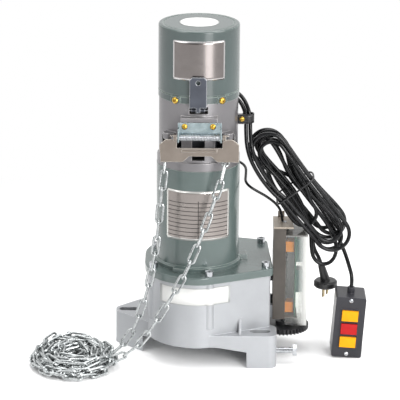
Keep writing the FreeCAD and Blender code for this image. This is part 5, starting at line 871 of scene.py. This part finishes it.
# Studio.
# A white sweep of floor, soft boxes at both sides, in front and above, and the camera at the photo's place.
TARGET = Vector((2.4, 0, 191)) * MM
DISTANCE = 3200 * MM
ELEVATION = math.radians(17.5)
ROLL = math.radians(0.44)
FOCAL_PIXELS = 2645
IMAGE_PIXELS = 400
camera_data = bpy.data.cameras.new("camera")
camera_data.sensor_width = 36
camera_data.lens = FOCAL_PIXELS / IMAGE_PIXELS * camera_data.sensor_width
camera_data.clip_end = 20
camera = put_in_scene("camera", camera_data)
outward = Vector((0, -math.cos(ELEVATION), math.sin(ELEVATION)))
camera.matrix_world = (Matrix.Translation(TARGET + outward * DISTANCE)
                       @ outward.to_track_quat("Z", "Y").to_matrix().to_4x4() @ Matrix.Rotation(ROLL, 4, "Z"))
bpy.context.scene.camera = camera

FLOOR_HALF = 4.0
floor_mesh = bpy.data.meshes.new("floor")
floor_corners = [(-FLOOR_HALF, -FLOOR_HALF, 0), (FLOOR_HALF, -FLOOR_HALF, 0), (FLOOR_HALF, FLOOR_HALF, 0),
                 (-FLOOR_HALF, FLOOR_HALF, 0)]
floor_mesh.from_pydata(floor_corners, [], [(0, 1, 2, 3)])
floor = put_in_scene("floor", floor_mesh)
# White paper that takes the object's shadow and runs out into the bright backdrop
paper, paper_tree = blank_material("white_studio_paper")
paper_place = add(paper_tree, "ShaderNodeTexCoord").outputs["Object"]
away = add(paper_tree, "ShaderNodeVectorMath", {"operation": "LENGTH"}, {0: paper_place})
fade = add(paper_tree, "ShaderNodeMapRange",
           {"interpolation_type": "SMOOTHSTEP", "From Min": 0.22, "From Max": 0.75},
           {"Value": away.outputs["Value"]}).outputs["Result"]
fibre = add(paper_tree, "ShaderNodeTexNoise", {"Scale": 250.0}, {"Vector": paper_place})
white = add(paper_tree, "ShaderNodeMixRGB", {"Color1": colour("f8f8f8"), "Color2": colour("fcfcfc")},
            {"Fac": fibre.outputs["Fac"]})
matte = add(paper_tree, "ShaderNodeBsdfDiffuse", links={"Color": white.outputs["Color"]})
bright = add(paper_tree, "ShaderNodeEmission", {"Color": (1, 1, 1, 1), "Strength": 1.0})
swept = add(paper_tree, "ShaderNodeMixShader",
            links={"Fac": fade, 1: matte.outputs["BSDF"], 2: bright.outputs["Emission"]})
add(paper_tree, "ShaderNodeOutputMaterial", links={"Surface": swept.outputs["Shader"]})
floor_mesh.materials.append(paper)


def soft_box(name, spot, size, power):
    """A square area lamp aimed at the middle of the motor."""
    lamp = bpy.data.lights.new(name, "AREA")
    lamp.size = size
    lamp.energy = power
    held = put_in_scene(name, lamp)
    held.location = spot
    held.rotation_euler = (Vector(spot) - TARGET).to_track_quat("Z", "Y").to_euler()
    return held


soft_box("left_box", (-1.6, -1.2, 1.5), size=1.1, power=13)
soft_box("right_box", (1.7, -0.9, 1.3), size=1.1, power=16)
soft_box("front_box", (1.0, -2.0, 0.9), size=0.9, power=34)
soft_box("top_box", (0, 0.3, 2.0), size=1.6, power=26)
# A narrow upright box close to the front right, kept out of the camera's sight
strip_box = soft_box("strip_box", (0.37, -0.7, 0.3), size=0.3, power=1.6)
strip_box.data.shape = "RECTANGLE"
strip_box.data.size_y = 0.58
strip_box.visible_camera = False
world = bpy.data.worlds.new("studio")
bpy.context.scene.world = world
world.use_nodes = True
room = world.node_tree
room.nodes.clear()
# White for the camera; round the object the room is bright at the sides and back and dim behind the camera
way_out = add(room, "ShaderNodeTexCoord").outputs["Generated"]
depth = add(room, "ShaderNodeSeparateXYZ", links={"Vector": way_out}).outputs["Y"]
walls = add(room, "ShaderNodeMapRange", {"From Min": -0.95, "From Max": 0.15, "To Min": 0.2, "To Max": 1.0},
            {"Value": depth}).outputs["Result"]
seen = add(room, "ShaderNodeLightPath").outputs["Is Camera Ray"]
strength = add(room, "ShaderNodeMath", {"operation": "MAXIMUM"}, {0: walls, 1: seen}).outputs["Value"]
glow = add(room, "ShaderNodeBackground", {"Color": (1, 1, 1, 1)}, {"Strength": strength})
add(room, "ShaderNodeOutputWorld", links={"Surface": glow.outputs["Background"]})
bpy.context.scene.view_settings.view_transform = "Standard"
